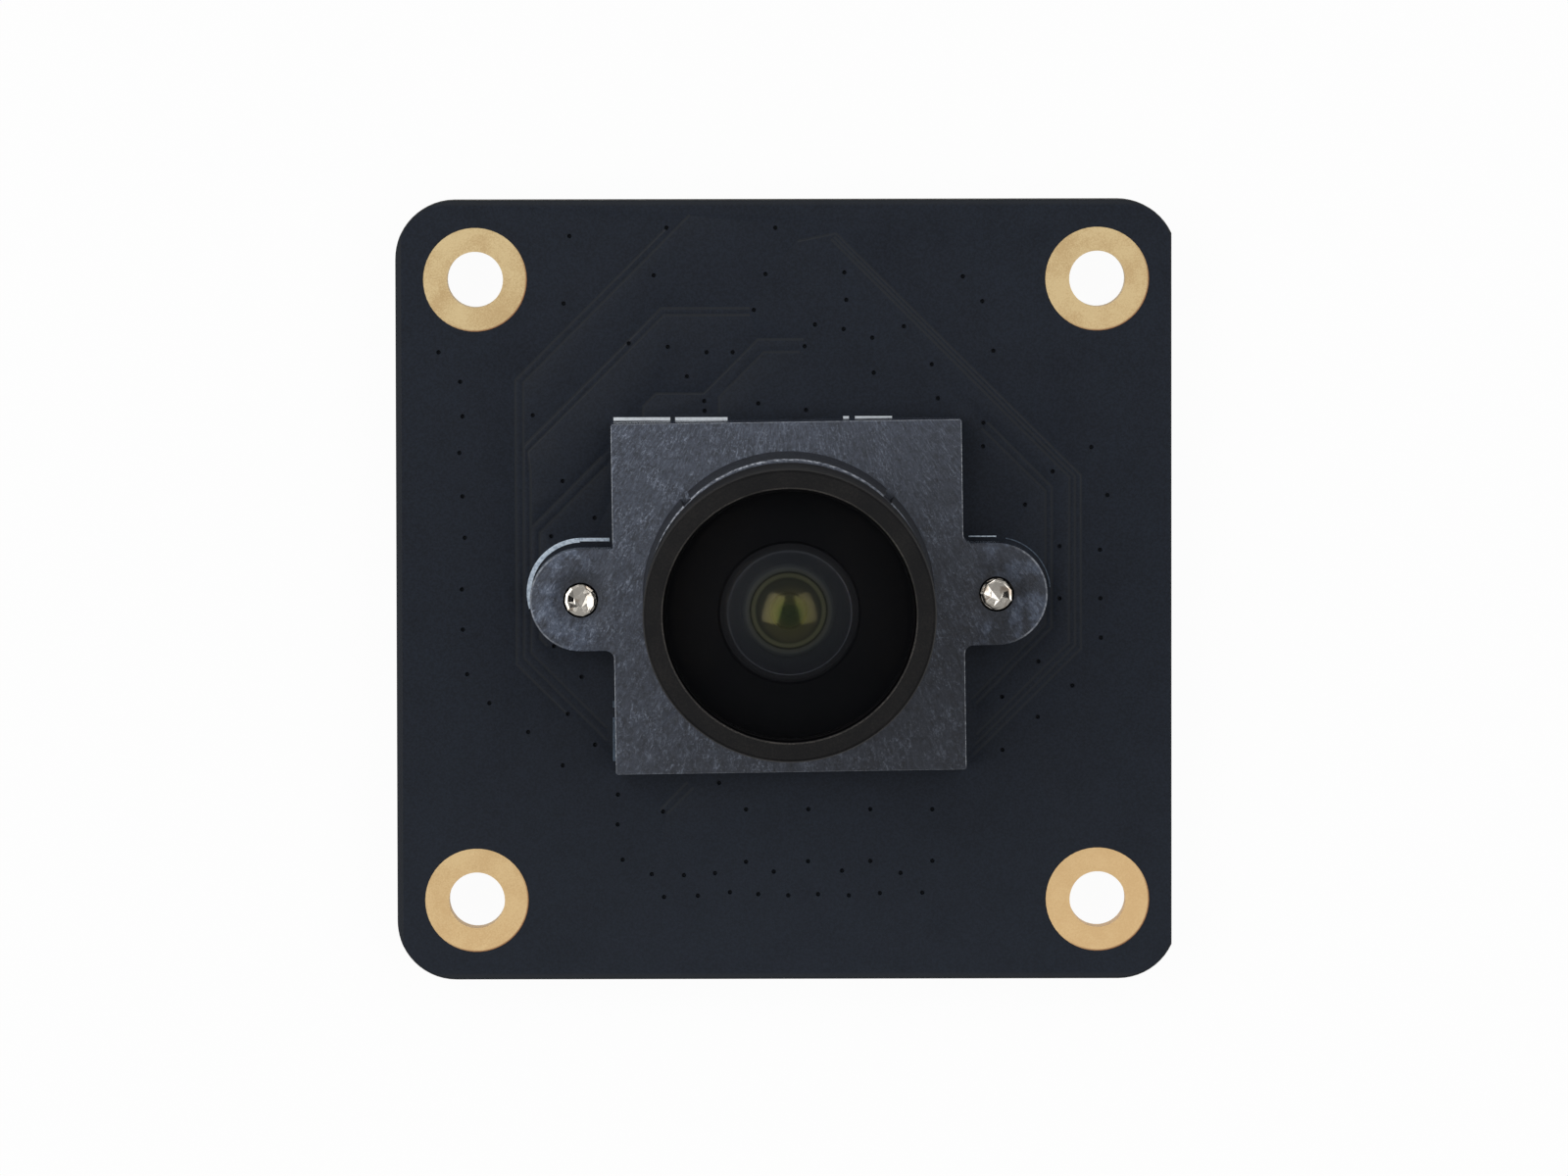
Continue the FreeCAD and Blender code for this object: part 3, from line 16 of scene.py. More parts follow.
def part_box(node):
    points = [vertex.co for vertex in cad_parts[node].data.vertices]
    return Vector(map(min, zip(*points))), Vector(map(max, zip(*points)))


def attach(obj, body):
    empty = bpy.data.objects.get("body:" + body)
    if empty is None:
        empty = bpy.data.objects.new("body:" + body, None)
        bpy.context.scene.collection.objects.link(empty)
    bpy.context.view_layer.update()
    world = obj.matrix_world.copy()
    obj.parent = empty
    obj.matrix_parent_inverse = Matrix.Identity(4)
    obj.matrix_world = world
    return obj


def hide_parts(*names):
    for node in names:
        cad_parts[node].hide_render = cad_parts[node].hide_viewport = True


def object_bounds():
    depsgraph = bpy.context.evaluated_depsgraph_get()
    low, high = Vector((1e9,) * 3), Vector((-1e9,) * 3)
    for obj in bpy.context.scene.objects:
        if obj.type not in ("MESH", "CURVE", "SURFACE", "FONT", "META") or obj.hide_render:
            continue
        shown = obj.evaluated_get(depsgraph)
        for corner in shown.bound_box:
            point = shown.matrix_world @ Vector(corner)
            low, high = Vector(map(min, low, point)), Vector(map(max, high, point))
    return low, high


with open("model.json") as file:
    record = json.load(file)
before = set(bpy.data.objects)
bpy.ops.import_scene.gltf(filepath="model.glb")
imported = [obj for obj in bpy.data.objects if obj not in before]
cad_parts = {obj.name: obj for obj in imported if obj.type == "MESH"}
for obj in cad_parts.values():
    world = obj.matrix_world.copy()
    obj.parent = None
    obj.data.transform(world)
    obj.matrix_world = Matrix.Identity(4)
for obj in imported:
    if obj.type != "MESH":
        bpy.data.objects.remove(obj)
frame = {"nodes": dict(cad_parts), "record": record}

MM = 0.001
# Metres within which points of a drawn piece, and of a frame node, count as one.
WELD = 2e-7
JOINED = 1e-6
# Degrees under which two triangles of a frame node lie in one face.
FLAT = 0.6
CAD_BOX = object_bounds()
LOG = logging.getLogger("camera_module")
Colour = tuple[float, float, float]
Place = tuple[float, float]
Pair = tuple[float, float]
Triple = tuple[float, float, float]
Stops = tuple[tuple[float, Colour], ...]
# Scale, detail, roughness and warp of a noise; the last ones may be left out.
Grain = tuple[float, ...]
# The same without the scale, which is given apart.
Layers = tuple[float, ...]
# Low and high end of a smooth step, and its values there if they aren't 0 and 1.
Span = tuple[float, ...]
# Depth of a relief in millimetres, and the share of it that is kept.
Relief = tuple[float, float]
WHITE = (1.0, 1.0, 1.0)
LEVEL = (1.0, 1.0, 0.0)
# Range that most of a noise lies in.
MOST = (0.3, 0.7)
# Millimetres that keep a division by a distance safe on the axis.
TINY = 0.01


def screen(red: float, green: float, blue: float) -> Colour:
    """Turns a colour as a screen shows it into the linear one that a shader takes.

    Args:
        red: Red from 0 to 255.
        green: Green from 0 to 255.
        blue: Blue from 0 to 255.

    Returns:
        The three linear values from 0 to 1.
    """
    def linear(level: float) -> float:
        """Linear value of one channel, by the standard curve of screens."""
        share = level / 255
        return share / 12.92 if share <= 0.04045 else ((share + 0.055) / 1.055) ** 2.4

    return linear(red), linear(green), linear(blue)


def around(middle: float, span: Span) -> Span:
    """Smooth step given about a middle, with its ends where they lie."""
    return (middle + span[0], middle + span[1], *span[2:])


class Body(Enum):
    """Bodies of the frame that a piece may ride on."""

    MODULE = "module"
    LENS = "lens"
    LATCH = "latch"


class Value:
    """One output of a node tree, used in plain arithmetic."""

    def __init__(self, recipe: "Recipe", socket: bpy.types.NodeSocket) -> None:
        """Keeps the tree and the output that the value stands for."""
        self.recipe = recipe
        self.socket = socket

    def sibling(self, output: int | str) -> "Value":
        """Another output of the same node."""
        return Value(self.recipe, self.socket.node.outputs[output])

    def __add__(self, other: "Value | float") -> "Value":
        """Sum of two values."""
        return self.recipe.maths("ADD", self, other)

    __radd__ = __add__

    def __sub__(self, other: "Value | float") -> "Value":
        """Difference of two values."""
        return self.recipe.maths("SUBTRACT", self, other)

    def __rsub__(self, other: float) -> "Value":
        """Difference of a number and this value."""
        return self.recipe.maths("SUBTRACT", other, self)

    def __mul__(self, other: "Value | float") -> "Value":
        """Product of two values."""
        return self.recipe.maths("MULTIPLY", self, other)

    __rmul__ = __mul__

    def __truediv__(self, other: "Value | float") -> "Value":
        """Quotient of two values."""
        return self.recipe.maths("DIVIDE", self, other)

    def __pow__(self, other: float) -> "Value":
        """Value raised to a power."""
        return self.recipe.maths("POWER", self, other)


class Recipe:
    """Node tree of a material or of the world, written as expressions."""

    def __init__(self, tree: bpy.types.NodeTree) -> None:
        """Keeps the tree and empties it."""
        self.tree = tree
        self.tree.nodes.clear()

    def node(self, kind: str, settings: dict[str, object] | None = None,
             sockets: dict[str | int, object] | None = None, output: int | str = 0) -> Value:
        """Adds one node.

        Args:
            kind: Type of the node.
            settings: Properties of the node, which are set first. "stops" fills a colour ramp.
            sockets: Numbers, colours or values for its inputs.
            output: The output to hand on.

        Returns:
            The value of that output.
        """
        made = self.tree.nodes.new(kind)
        for key, setting in (settings or {}).items():
            if key == "stops":
                self._fill_ramp(made.color_ramp, setting)
            else:
                setattr(made, key, setting)
        for key, entry in (sockets or {}).items():
            self._feed(made.inputs[key], entry)
        return Value(self, made.outputs[output])

    def _fill_ramp(self, ramp: bpy.types.ColorRamp, stops: Sequence[tuple[float, Colour]]) -> None:
        """Gives a colour ramp its stops.

        Args:
            ramp: Ramp of a node.
            stops: Position and colour of each stop.
        """
        while len(ramp.elements) < len(stops):
            ramp.elements.new(1.0)
        for element, (position, colour) in zip(ramp.elements, stops):
            element.position = position
            element.color = (*colour, 1.0)

    def _feed(self, socket: bpy.types.NodeSocket, entry: object) -> None:
        """Links a value to an input, or writes a number or colour on it.

        Args:
            socket: The input.
            entry: Value, number or colour for it.
        """
        if isinstance(entry, Value):
            self.tree.links.new(entry.socket, socket)
        elif socket.type == "RGBA":
            socket.default_value = (*entry, 1.0)
        else:
            socket.default_value = entry

    def maths(self, operation: str, *entries: "Value | float") -> Value:
        """Adds a Math node on numbers."""
        sockets = dict(enumerate(entries))
        return self.node("ShaderNodeMath", {"operation": operation}, sockets)

    def vector(self, operation: str, *entries: object, output: int | str = 0) -> Value:
        """Adds a Vector Math node."""
        sockets = dict(enumerate(entries))
        return self.node("ShaderNodeVectorMath", {"operation": operation}, sockets, output)

    def place(self) -> Value:
        """Place on the object in millimetres."""
        here = self.node("ShaderNodeTexCoord", output="Object")
        return self.vector("MULTIPLY", here, (1 / MM, 1 / MM, 1 / MM))

    def parts(self, vector: Value) -> tuple[Value, Value, Value]:
        """X, Y and Z of a vector."""
        x = self.node("ShaderNodeSeparateXYZ", None, {0: vector})
        return x, x.sibling(1), x.sibling(2)

    def joined(self, x: "Value | float", y: "Value | float", z: "Value | float") -> Value:
        """Vector of three numbers."""
        return self.node("ShaderNodeCombineXYZ", None, {0: x, 1: y, 2: z})

    def noise(self, where: Value, scale: float, detail: float = 2.0, roughness: float = 0.5,
              distortion: float = 0.0) -> Value:
        """Cloudy noise from 0 to 1.

        Args:
            where: Place that the noise is read at.
            scale: Waves per unit of the place.
            detail: Number of finer layers.
            roughness: Strength of the finer layers.
            distortion: How far the waves are warped.

        Returns:
            The noise.
        """
        return self.node("ShaderNodeTexNoise", None, {
            "Vector": where, "Scale": scale, "Detail": detail, "Roughness": roughness,
            "Distortion": distortion})

    def ease(self, entry: Value, low: float, high: float, start: float = 0.0,
             end: float = 1.0) -> Value:
        """Smooth step of a value between low and high, from start to end."""
        return self.node("ShaderNodeMapRange", {"interpolation_type": "SMOOTHSTEP"},
                         {0: entry, 1: low, 2: high, 3: start, 4: end})

    def shared(self, first: Value, second: Value, share: float) -> Value:
        """Sum of two values, with that share of the second."""
        return first * (1 - share) + second * share

    def blend(self, factor: "Value | float", first: "Value | Colour",
              second: "Value | Colour") -> Value:
        """Mix of two colours."""
        sockets = {0: factor, 6: first, 7: second}
        return self.node("ShaderNodeMix", {"data_type": "RGBA"}, sockets, 2)

    def layered(self, factor: "Value | float", first: Value, second: Value) -> Value:
        """Mix of two shaders."""
        return self.node("ShaderNodeMixShader", None, {0: factor, 1: first, 2: second})

    def largest(self, *entries: Value) -> Value:
        """Largest of several values.

        Args:
            entries: The values to compare.

        Returns:
            The largest.
        """
        top = entries[0]
        for entry in entries[1:]:
            top = self.maths("MAXIMUM", top, entry)
        return top

    def ramp(self, entry: Value, *stops: tuple[float, Colour]) -> Value:
        """Colour ramp with the given stops."""
        return self.node("ShaderNodeValToRGB", {"stops": stops}, {0: entry})

    def bump(self, height: Value, depth_mm: float, strength: float = 1.0,
             under: Value | None = None) -> Value:
        """Normal from a height that spans depth_mm.

        Args:
            height: Height from 0 to 1.
            depth_mm: Depth that 1 stands for.
            strength: Share of the relief that is kept.
            under: Normal of a relief below, if there is one.

        Returns:
            The normal.
        """
        sockets = {"Height": height, "Distance": depth_mm * MM, "Strength": strength}
        if under is not None:
            sockets["Normal"] = under
        return self.node("ShaderNodeBump", None, sockets)

    def radius(self, axis: Place) -> Value:
        """Distance in millimetres from an upright axis."""
        level = self.vector("MULTIPLY", self.place(), LEVEL)
        return self.vector("DISTANCE", level, (*axis, 0.0), output="Value")

    def principled(self, sockets: dict[str | int, object]) -> Value:
        """Principled surface."""
        return self.node("ShaderNodeBsdfPrincipled", None, sockets)

    def finish(self, shader: Value, kind: str = "ShaderNodeOutputMaterial") -> None:
        """Ends the tree with its shader."""
        ending = self.tree.nodes.new(kind)
        self.tree.links.new(shader.socket, ending.inputs["Surface"])


@dataclass(frozen=True)
class Finish:
    """A finish that is made once and shared by every piece that wears it."""

    name: str

    def material(self) -> bpy.types.Material:
        """The finish's material, made on first use.

        Returns:
            The one material of that name.
        """
        made = bpy.data.materials.get(self.name)
        if made is None:
            made = bpy.data.materials.new(self.name)
            made.use_nodes = True
            recipe = Recipe(made.node_tree)
            recipe.finish(self.surface(recipe))
        return made

    def surface(self, recipe: Recipe) -> Value:
        """Shader of the surface. Each finish has its own."""
        raise NotImplementedError


@dataclass(frozen=True)
class SolderMask(Finish):
    """Satin dark lacquer over copper, with a faint cloudiness and a fine orange peel."""

    name: str = "solder_mask"
    light: Colour = screen(28, 36, 49)
    dark: Colour = screen(9, 15, 25)
    border: Colour = screen(38, 41, 45)
    # Paler colour painted towards the lower edge, as painted light.
    lower: Colour = screen(36, 42, 51)
    cloud: Grain = (0.5, 4.0, 0.6)
    speck: Grain = (9.0, 2.0, 0.6)
    speck_span: Span = (0.3, 0.7)
    speck_share: float = 0.5
    front: float = 1.6
    chamfer_span: Span = (-0.05, -0.03)
    face_span: Span = (-0.004, -0.001, 1.0, 0.0)
    chamfer_share: float = 0.6
    half_side: float = 18.85
    corner: float = 2.2
    lower_light_share: float = 0.24
    border_width: float = 0.34
    border_share: float = 0.55
    peel: Grain = (9.0, 3.0, 0.55)
    peel_relief: Relief = (0.006, 0.5)
    gloss_span: Span = (0.2, 0.8, 0.40, 0.52)
    specular: float = 0.18

    def surface(self, recipe: Recipe) -> Value:
        """Cloudy dark base with a fine speckle, a paler border and painted light towards the lower
        edge.

        Args:
            recipe: Recipe that takes the nodes.

        Returns:
            The shader.
        """
        where = recipe.place()
        cloud = recipe.noise(where, *self.cloud)
        speck = recipe.ease(recipe.noise(where, *self.speck), *self.speck_span)
        tone = recipe.blend(recipe.shared(cloud, speck, self.speck_share), self.dark, self.light)
        _, y, z = recipe.parts(where)
        chamfer = (recipe.ease(z, *around(self.front, self.chamfer_span))
                   * recipe.ease(z, *around(self.front, self.face_span)))
        tone = recipe.blend(chamfer * self.chamfer_share, tone, self.border)
        # Painted light: the mask is painted paler towards the lower edge of the board.
        low = recipe.ease(y, -self.half_side, 0.0, self.lower_light_share, 0.0)
        tone = recipe.blend(low, tone, self.lower)
        inside = self._from_edge(recipe, where)
        margin = recipe.ease(inside, self.border_width / 2, self.border_width, 1.0, 0.0)
        return recipe.principled({
            "Base Color": recipe.blend(margin * self.border_share, tone, self.border),
            "Roughness": recipe.ease(cloud, *self.gloss_span),
            "Specular IOR Level": self.specular,
            "Normal": recipe.bump(recipe.noise(where, *self.peel), *self.peel_relief),
        })

    def _from_edge(self, recipe: Recipe, where: Value) -> Value:
        """Distance in millimetres from the board's rounded outline, inwards.

        Args:
            recipe: Recipe that takes the nodes.
            where: Place on the object in millimetres.

        Returns:
            The distance.
        """
        x, y, _ = recipe.parts(where)
        flat = self.half_side - self.corner
        over_x, over_y = (recipe.maths("MAXIMUM", recipe.maths("ABSOLUTE", side) - flat, 0.0)
                          for side in (x, y))
        over = recipe.vector("LENGTH", recipe.joined(over_x, over_y, 0.0), output="Value")
        return self.corner - over


@dataclass(frozen=True)
class LaminateEdge(Finish):
    """Sawn edge of the laminate: dark resin with fine layers of glass cloth."""

    name: str = "laminate_edge"
    resin: Colour = screen(58, 56, 54)
    glass: Colour = screen(92, 90, 84)
    layer_scale: Triple = (2.0, 2.0, 22.0)
    layer: Grain = (1.0, 3.0, 0.6)
    layer_span: Span = (0.42, 0.62)
    relief: Relief = (0.02, 0.6)
    gloss: float = 0.72

    def surface(self, recipe: Recipe) -> Value:
        """Layers along Z broken up along the edge.

        Args:
            recipe: Recipe that takes the nodes.

        Returns:
            The shader.
        """
        stretched = recipe.vector("MULTIPLY", recipe.place(), self.layer_scale)
        layers = recipe.noise(stretched, *self.layer)
        tone = recipe.blend(recipe.ease(layers, *self.layer_span), self.resin, self.glass)
        return recipe.principled({
            "Base Color": tone,
            "Roughness": self.gloss,
            "Normal": recipe.bump(layers, *self.relief),
        })


@dataclass(frozen=True)
class PlatedGold(Finish):
    """Matt gold plating on copper, with a fine grain, painted light towards the lower right and a
    painted brown shadow at the lower right of the outer edge.
    """

    name: str = "plated_gold"
    gold: Colour = screen(219, 195, 147)
    tarnish: Colour = screen(183, 147, 97)
    edge_shadow: Colour = screen(132, 74, 40)
    lit_gold: Colour = screen(240, 200, 144)
    ring_radius: float = 2.5
    pitch: float = 30.0
    grain: Grain = (16.0, 3.0, 0.65)
    cloud: Grain = (0.8, 2.0, 0.5)
    cloud_share: float = 0.5
    tarnish_span: Span = (0.40, 0.62)
    tarnish_share: float = 0.5
    side_span: Span = (-0.2, 1.2)
    edge_span: Span = (-0.1, -0.02)
    edge_shadow_share: float = 0.8
    lit_gold_reach: float = 0.73
    lit_gold_share: float = 0.6
    metal_share: float = 0.5
    gloss_span: Span = (0.3, 0.7, 0.46, 0.62)
    relief: Relief = (0.012, 0.6)

    def surface(self, recipe: Recipe) -> Value:
        """Grainy gold, painted brighter towards the lower right, with a painted brown shadow line
        at the lower right of each ring.

        Args:
            recipe: Recipe that takes the nodes.

        Returns:
            The shader.
        """
        where = recipe.place()
        x, y, _ = recipe.parts(where)
        off_x, off_y = (side - recipe.maths("SIGN", side) * (self.pitch / 2) for side in (x, y))
        away = recipe.vector("LENGTH", recipe.joined(off_x, off_y, 0.0), output="Value")
        # Painted shadow: each ring's outer edge is painted brown at its lower right.
        low_right = recipe.ease((off_x - off_y) / (away + TINY), *self.side_span)
        edge = recipe.ease(away, *around(self.ring_radius, self.edge_span))
        grain = recipe.noise(where, *self.grain)
        mottle = recipe.shared(grain, recipe.noise(where, *self.cloud), self.cloud_share)
        tone = recipe.blend(recipe.ease(mottle, *self.tarnish_span) * self.tarnish_share,
                            self.gold, self.tarnish)
        # Painted light: the rings are painted brighter towards the lower right of the board.
        low = recipe.ease(x * 0.5 - y, -self.pitch / 2, self.pitch * self.lit_gold_reach)
        tone = recipe.blend(low * self.lit_gold_share, tone, self.lit_gold)
        return recipe.principled({
            "Base Color": recipe.blend(edge * low_right * self.edge_shadow_share, tone, self.edge_shadow),
            "Metallic": self.metal_share,
            "Roughness": recipe.ease(grain, *self.gloss_span),
            "Normal": recipe.bump(grain, *self.relief),
        })


@dataclass(frozen=True)
class FilledNylon(Finish):
    """Glass-filled nylon: mottled grey skin with short fibres that fan out from the gate."""

    name: str = "filled_nylon"
    axis: Place = (0.09, -0.22)
    turned: float = 0.75
    lit: Colour = screen(81, 88, 103)
    shaded: Colour = screen(40, 43, 51)
    fibre: Colour = screen(150, 160, 178)
    blotch_and_shade: Colour = screen(30, 31, 34)
    painted_wall_shade: Colour = screen(36, 36, 37)
    worn_and_highlight: Colour = screen(206, 212, 222)
    lug_sheen: Colour = screen(122, 136, 162)
    half_side: float = 8.5
    edge: float = 8.43
    lug_half: float = 2.6
    wall_top: float = 4.0
    boss_foot: float = 4.25
    boss_rim: Place = (7.74, 7.92)
    gate: float = 18.0
    sinks: tuple[Place, ...] = ((-9.91, -0.35), (10.09, -0.09))
    sink_radius: float = 1.35
    lug_radius: float = 2.45
    light_side: Place = (0.85, 1.1)
    light_span: Span = (-1.7, 1.7)
    light_share: float = 0.62
    shade: Grain = (0.35, 2.0)
    shade_share: float = 0.3
    drift: Grain = (0.75, 3.0, 0.6)
    cloud_span: Span = (0.40, 0.62, 0.35, 1.0)
    lug_span: Span = (0.3, 1.5)
    sheen_span: Span = (0.44, 0.6)
    sheen_share: float = 0.3
    mottle: Grain = (2.4, 6.0, 0.72, 0.9)
    mottle_span: Span = (0.44, 0.64, 0.0, 0.45)
    tangle_scale: Triple = (6.5, 4.5, 6.0)
    tangle: Grain = (1.0, 4.0, 0.7, 1.0)
    tangle_share: float = 0.35
    streak_scale: Triple = (130.0, 2.6, 4.0)
    streak: Grain = (1.0, 4.0, 0.66, 0.8)
    gap_span: Span = (0.36, 0.5, 0.55, 0.0)
    fibre_span: Span = (0.5, 0.64)
    fibre_share: float = 0.62
    speck: Grain = (8.0, 2.0, 0.7)
    speck_span: Span = (0.56, 0.7)
    speck_share: float = 0.46
    right_share: float = 0.5
    lower_span: Span = (-8.5, 3.0, 0.62, 1.0)
    sink_shade_span: Span = (-0.5, 0.5, 0.6, 0.0)
    sink_shade_side: Span = (-0.9, 0.7, 0.3, 1.0)
    painted_wall_shade_share: float = 0.72
    foot_span: Span = (-0.08, 0.0)
    rim_span: Span = (-0.05, 0.0, 1.0, 0.0)
    highlight_breaks: Grain = (5.0, 3.0, 0.7)
    edge_highlight_breaks: Span = (0.42, 0.6, 0.35, 1.0)
    edge_inner: Span = (-0.04, -0.01)
    edge_outer: Span = (0.03, 0.06, 1.0, 0.0)
    free_from: Span = (0.0, 0.3)
    upright_span: Span = (-0.1, 0.1, 0.45, 1.0)
    lowest_span: Span = (-0.1, 0.3, 0.35, 1.0)
    top_span: Span = (-0.05, 0.0)
    lug_line: Span = (-0.1, -0.06)
    outward_span: Span = (10.4, 11.8, 0.0, 0.42)
    boss_highlight_breaks: Span = (0.4, 0.62, 0.1, 1.0)
    boss_line: Pair = (0.06, 0.03)
    boss_side: Pair = (0.6, 0.8)
    boss_side_span: Span = (-0.2, 0.75, 0.1, 0.85)
    weave_relief: Relief = (0.035, 0.8)
    sink_span: Span = (-0.25, 0.25)
    sink_relief: Relief = (0.05, 0.8)
    speck_relief: Relief = (0.016, 0.7)
    gloss_span: Span = (0.3, 0.7, 0.46, 0.66)
    wall_gloss: Span = (-0.1, 0.0, 0.4, 1.0)
    specular: float = 0.35

    def surface(self, recipe: Recipe) -> Value:
        """Grey base painted lighter towards the upper left, with blotches, fibres, painted shade
        and painted highlights.

        Args:
            recipe: Recipe that takes the nodes.

        Returns:
            The shader.
        """
        where = recipe.place()
        x, y, z = recipe.parts(where)
        tangle = recipe.noise(recipe.vector("MULTIPLY", where, self.tangle_scale), *self.tangle)
        weave = recipe.shared(self._streaks(recipe, x, y, z), tangle, self.tangle_share)
        speck = recipe.noise(where, *self.speck)
        drift = recipe.noise(where, *self.drift)
        # Painted light: fibres and specks are painted to show most on the left and upper side,
        # where the light falls.
        lit_sparkle = (recipe.ease(x, -self.half_side, self.half_side, 1.0, self.right_share)
                  * recipe.ease(drift, *self.cloud_span)
                  * recipe.ease(y, *self.lower_span))
        fleck = (recipe.ease(weave, *self.fibre_span) * self.fibre_share
                 + recipe.ease(speck, *self.speck_span) * self.speck_share)
        tone = recipe.blend(fleck * lit_sparkle, self._skin(recipe, where, weave, drift), self.fibre)
        near = self._from_screw(recipe, where)
        # Painted shade: darker round each screw, most above it.
        sink_shade = (recipe.ease(near, *around(self.sink_radius, self.sink_shade_span))
                * recipe.ease(y, *self.sink_shade_side))
        tone = recipe.blend(sink_shade, tone, self.blotch_and_shade)
        # Painted shade on the side of the boss.
        tone = recipe.blend(self._boss_wall(recipe, z) * self.painted_wall_shade_share, tone, self.painted_wall_shade)
        # Painted highlights along the flange's upper edges, round the lugs' ends and along the
        # boss's rim, broken into dashes by noise.
        highlight_breaks = recipe.noise(where, *self.highlight_breaks)
        painted_highlight = self._edge_highlight(recipe, x, y, z) + self._lug_highlight(recipe, x, near, z)
        painted_highlight = (painted_highlight * recipe.ease(highlight_breaks, *self.edge_highlight_breaks)
                  + self._boss_highlight(recipe, x, y, z) * recipe.ease(highlight_breaks, *self.boss_highlight_breaks))
        sink = recipe.ease(near, *around(self.sink_radius, self.sink_span))
        sunk = recipe.bump(sink, *self.sink_relief, recipe.bump(weave, *self.weave_relief))
        return recipe.principled({
            "Base Color": recipe.blend(painted_highlight, tone, self.worn_and_highlight),
            "Roughness": (recipe.ease(tangle, *self.gloss_span)
                          * recipe.ease(z, *around(self.wall_top, self.wall_gloss))),
            "Specular IOR Level": self.specular,
            "Normal": recipe.bump(speck, *self.speck_relief, sunk),
        })

    def _skin(self, recipe: Recipe, where: Value, weave: Value, drift: Value) -> Value:
        """Skin without its fibres: painted slope of light, painted sheen on the lugs and dark
        blotches.

        Args:
            recipe: Recipe that takes the nodes.
            where: Place on the object in millimetres.
            weave: Pattern of the fibres.
            drift: Slow clouds.

        Returns:
            The colour.
        """
        x, y, _ = recipe.parts(where)
        lean = (y * self.light_side[1] - x * self.light_side[0]) / self.half_side
        slope = recipe.ease(lean, *self.light_span) * self.light_share
        skin = recipe.blend(slope + recipe.noise(where, *self.shade) * self.shade_share,
                            self.shaded, self.lit)
        side = recipe.ease(recipe.maths("ABSOLUTE", x), *around(self.half_side, self.lug_span))
        sheen = side * recipe.ease(drift, *self.sheen_span) * self.sheen_share
        skin = recipe.blend(sheen, skin, self.lug_sheen)
        mottle = recipe.noise(where, *self.mottle)
        skin = recipe.blend(recipe.ease(mottle, *self.mottle_span), skin, self.blotch_and_shade)
        return recipe.blend(recipe.ease(weave, *self.gap_span), skin, self.blotch_and_shade)

    def _streaks(self, recipe: Recipe, x: Value, y: Value, z: Value) -> Value:
        """Fibres drawn out along rays from the gate at the upper edge.

        Args:
            recipe: Recipe that takes the nodes.
            x: X of the place in millimetres.
            y: Y of the place in millimetres.
            z: Z of the place in millimetres.

        Returns:
            The fibres, from 0 to 1.
        """
        across, along, up = self.streak_scale
        drop = self.gate - y
        return recipe.noise(recipe.joined(x / drop * across, drop * along, z * up), *self.streak)

    def _boss_wall(self, recipe: Recipe, z: Value) -> Value:
        """Where the side of the boss is painted in shade."""
        return (recipe.ease(z, *around(self.boss_foot, self.foot_span))
                * recipe.ease(z, *around(self.boss_rim[0], self.rim_span)))

    def _boss_highlight(self, recipe: Recipe, x: Value, y: Value, z: Value) -> Value:
        """Painted highlight along the boss's rim, strongest at the upper left.

        Args:
            recipe: Recipe that takes the nodes.
            x: X of the place in millimetres.
            y: Y of the place in millimetres.
            z: Z of the place in millimetres.

        Returns:
            How much the line shows, from 0 to 1.
        """
        low, high = self.boss_rim
        line = (recipe.ease(z, low, low + self.boss_line[0])
                * recipe.ease(z, high - self.boss_line[1], high, 1.0, 0.0))
        lean = (y * self.boss_side[1] - x * self.boss_side[0]) / self.half_side
        return line * recipe.ease(lean, *self.boss_side_span)

    def _edge_highlight(self, recipe: Recipe, x: Value, y: Value, z: Value) -> Value:
        """Painted highlight along the flange's upper edges, outside the lugs.

        Args:
            recipe: Recipe that takes the nodes.
            x: X of the place in millimetres.
            y: Y of the place in millimetres.
            z: Z of the place in millimetres.

        Returns:
            How much the line shows, from 0 to 1.
        """
        lean = math.tan(math.radians(self.turned))
        along = recipe.maths("ABSOLUTE", (x - self.axis[0]) + (y - self.axis[1]) * lean)
        across = recipe.maths("ABSOLUTE", (y - self.axis[1]) - (x - self.axis[0]) * lean)
        reach = recipe.maths("MAXIMUM", along, across)
        inner = recipe.ease(reach, *around(self.edge, self.edge_inner))
        outer = recipe.ease(reach, *around(self.edge, self.edge_outer))
        free = recipe.ease(across, *around(self.lug_half, self.free_from))
        upright = recipe.ease(along - across, *self.upright_span)
        upper = recipe.ease(y, *around(-self.edge, self.lowest_span))
        return inner * outer * free * upright * upper * self._top(recipe, z)

    def _lug_highlight(self, recipe: Recipe, x: Value, near: Value, z: Value) -> Value:
        """Faint painted highlight round the lugs' ends.

        Args:
            recipe: Recipe that takes the nodes.
            x: X of the place in millimetres.
            near: Distance from the nearest screw's axis.
            z: Z of the place in millimetres.

        Returns:
            How much the line shows, from 0 to 1.
        """
        line = recipe.ease(near, *around(self.lug_radius, self.lug_line))
        outward = recipe.ease(recipe.maths("ABSOLUTE", x), *self.outward_span)
        return line * outward * self._top(recipe, z)

    def _top(self, recipe: Recipe, z: Value) -> Value:
        """Where the flange's upper face is, from 0 to 1."""
        return recipe.ease(z, *around(self.wall_top, self.top_span))

    def _from_screw(self, recipe: Recipe, where: Value) -> Value:
        """Distance in millimetres from the nearest screw's axis.

        Args:
            recipe: Recipe that takes the nodes.
            where: Place on the object in millimetres.

        Returns:
            The distance.
        """
        left, right = (recipe.vector("DISTANCE", recipe.vector("MULTIPLY", where, LEVEL),
                                     (*place, 0.0), output="Value") for place in self.sinks)
        return recipe.maths("MINIMUM", left, right)


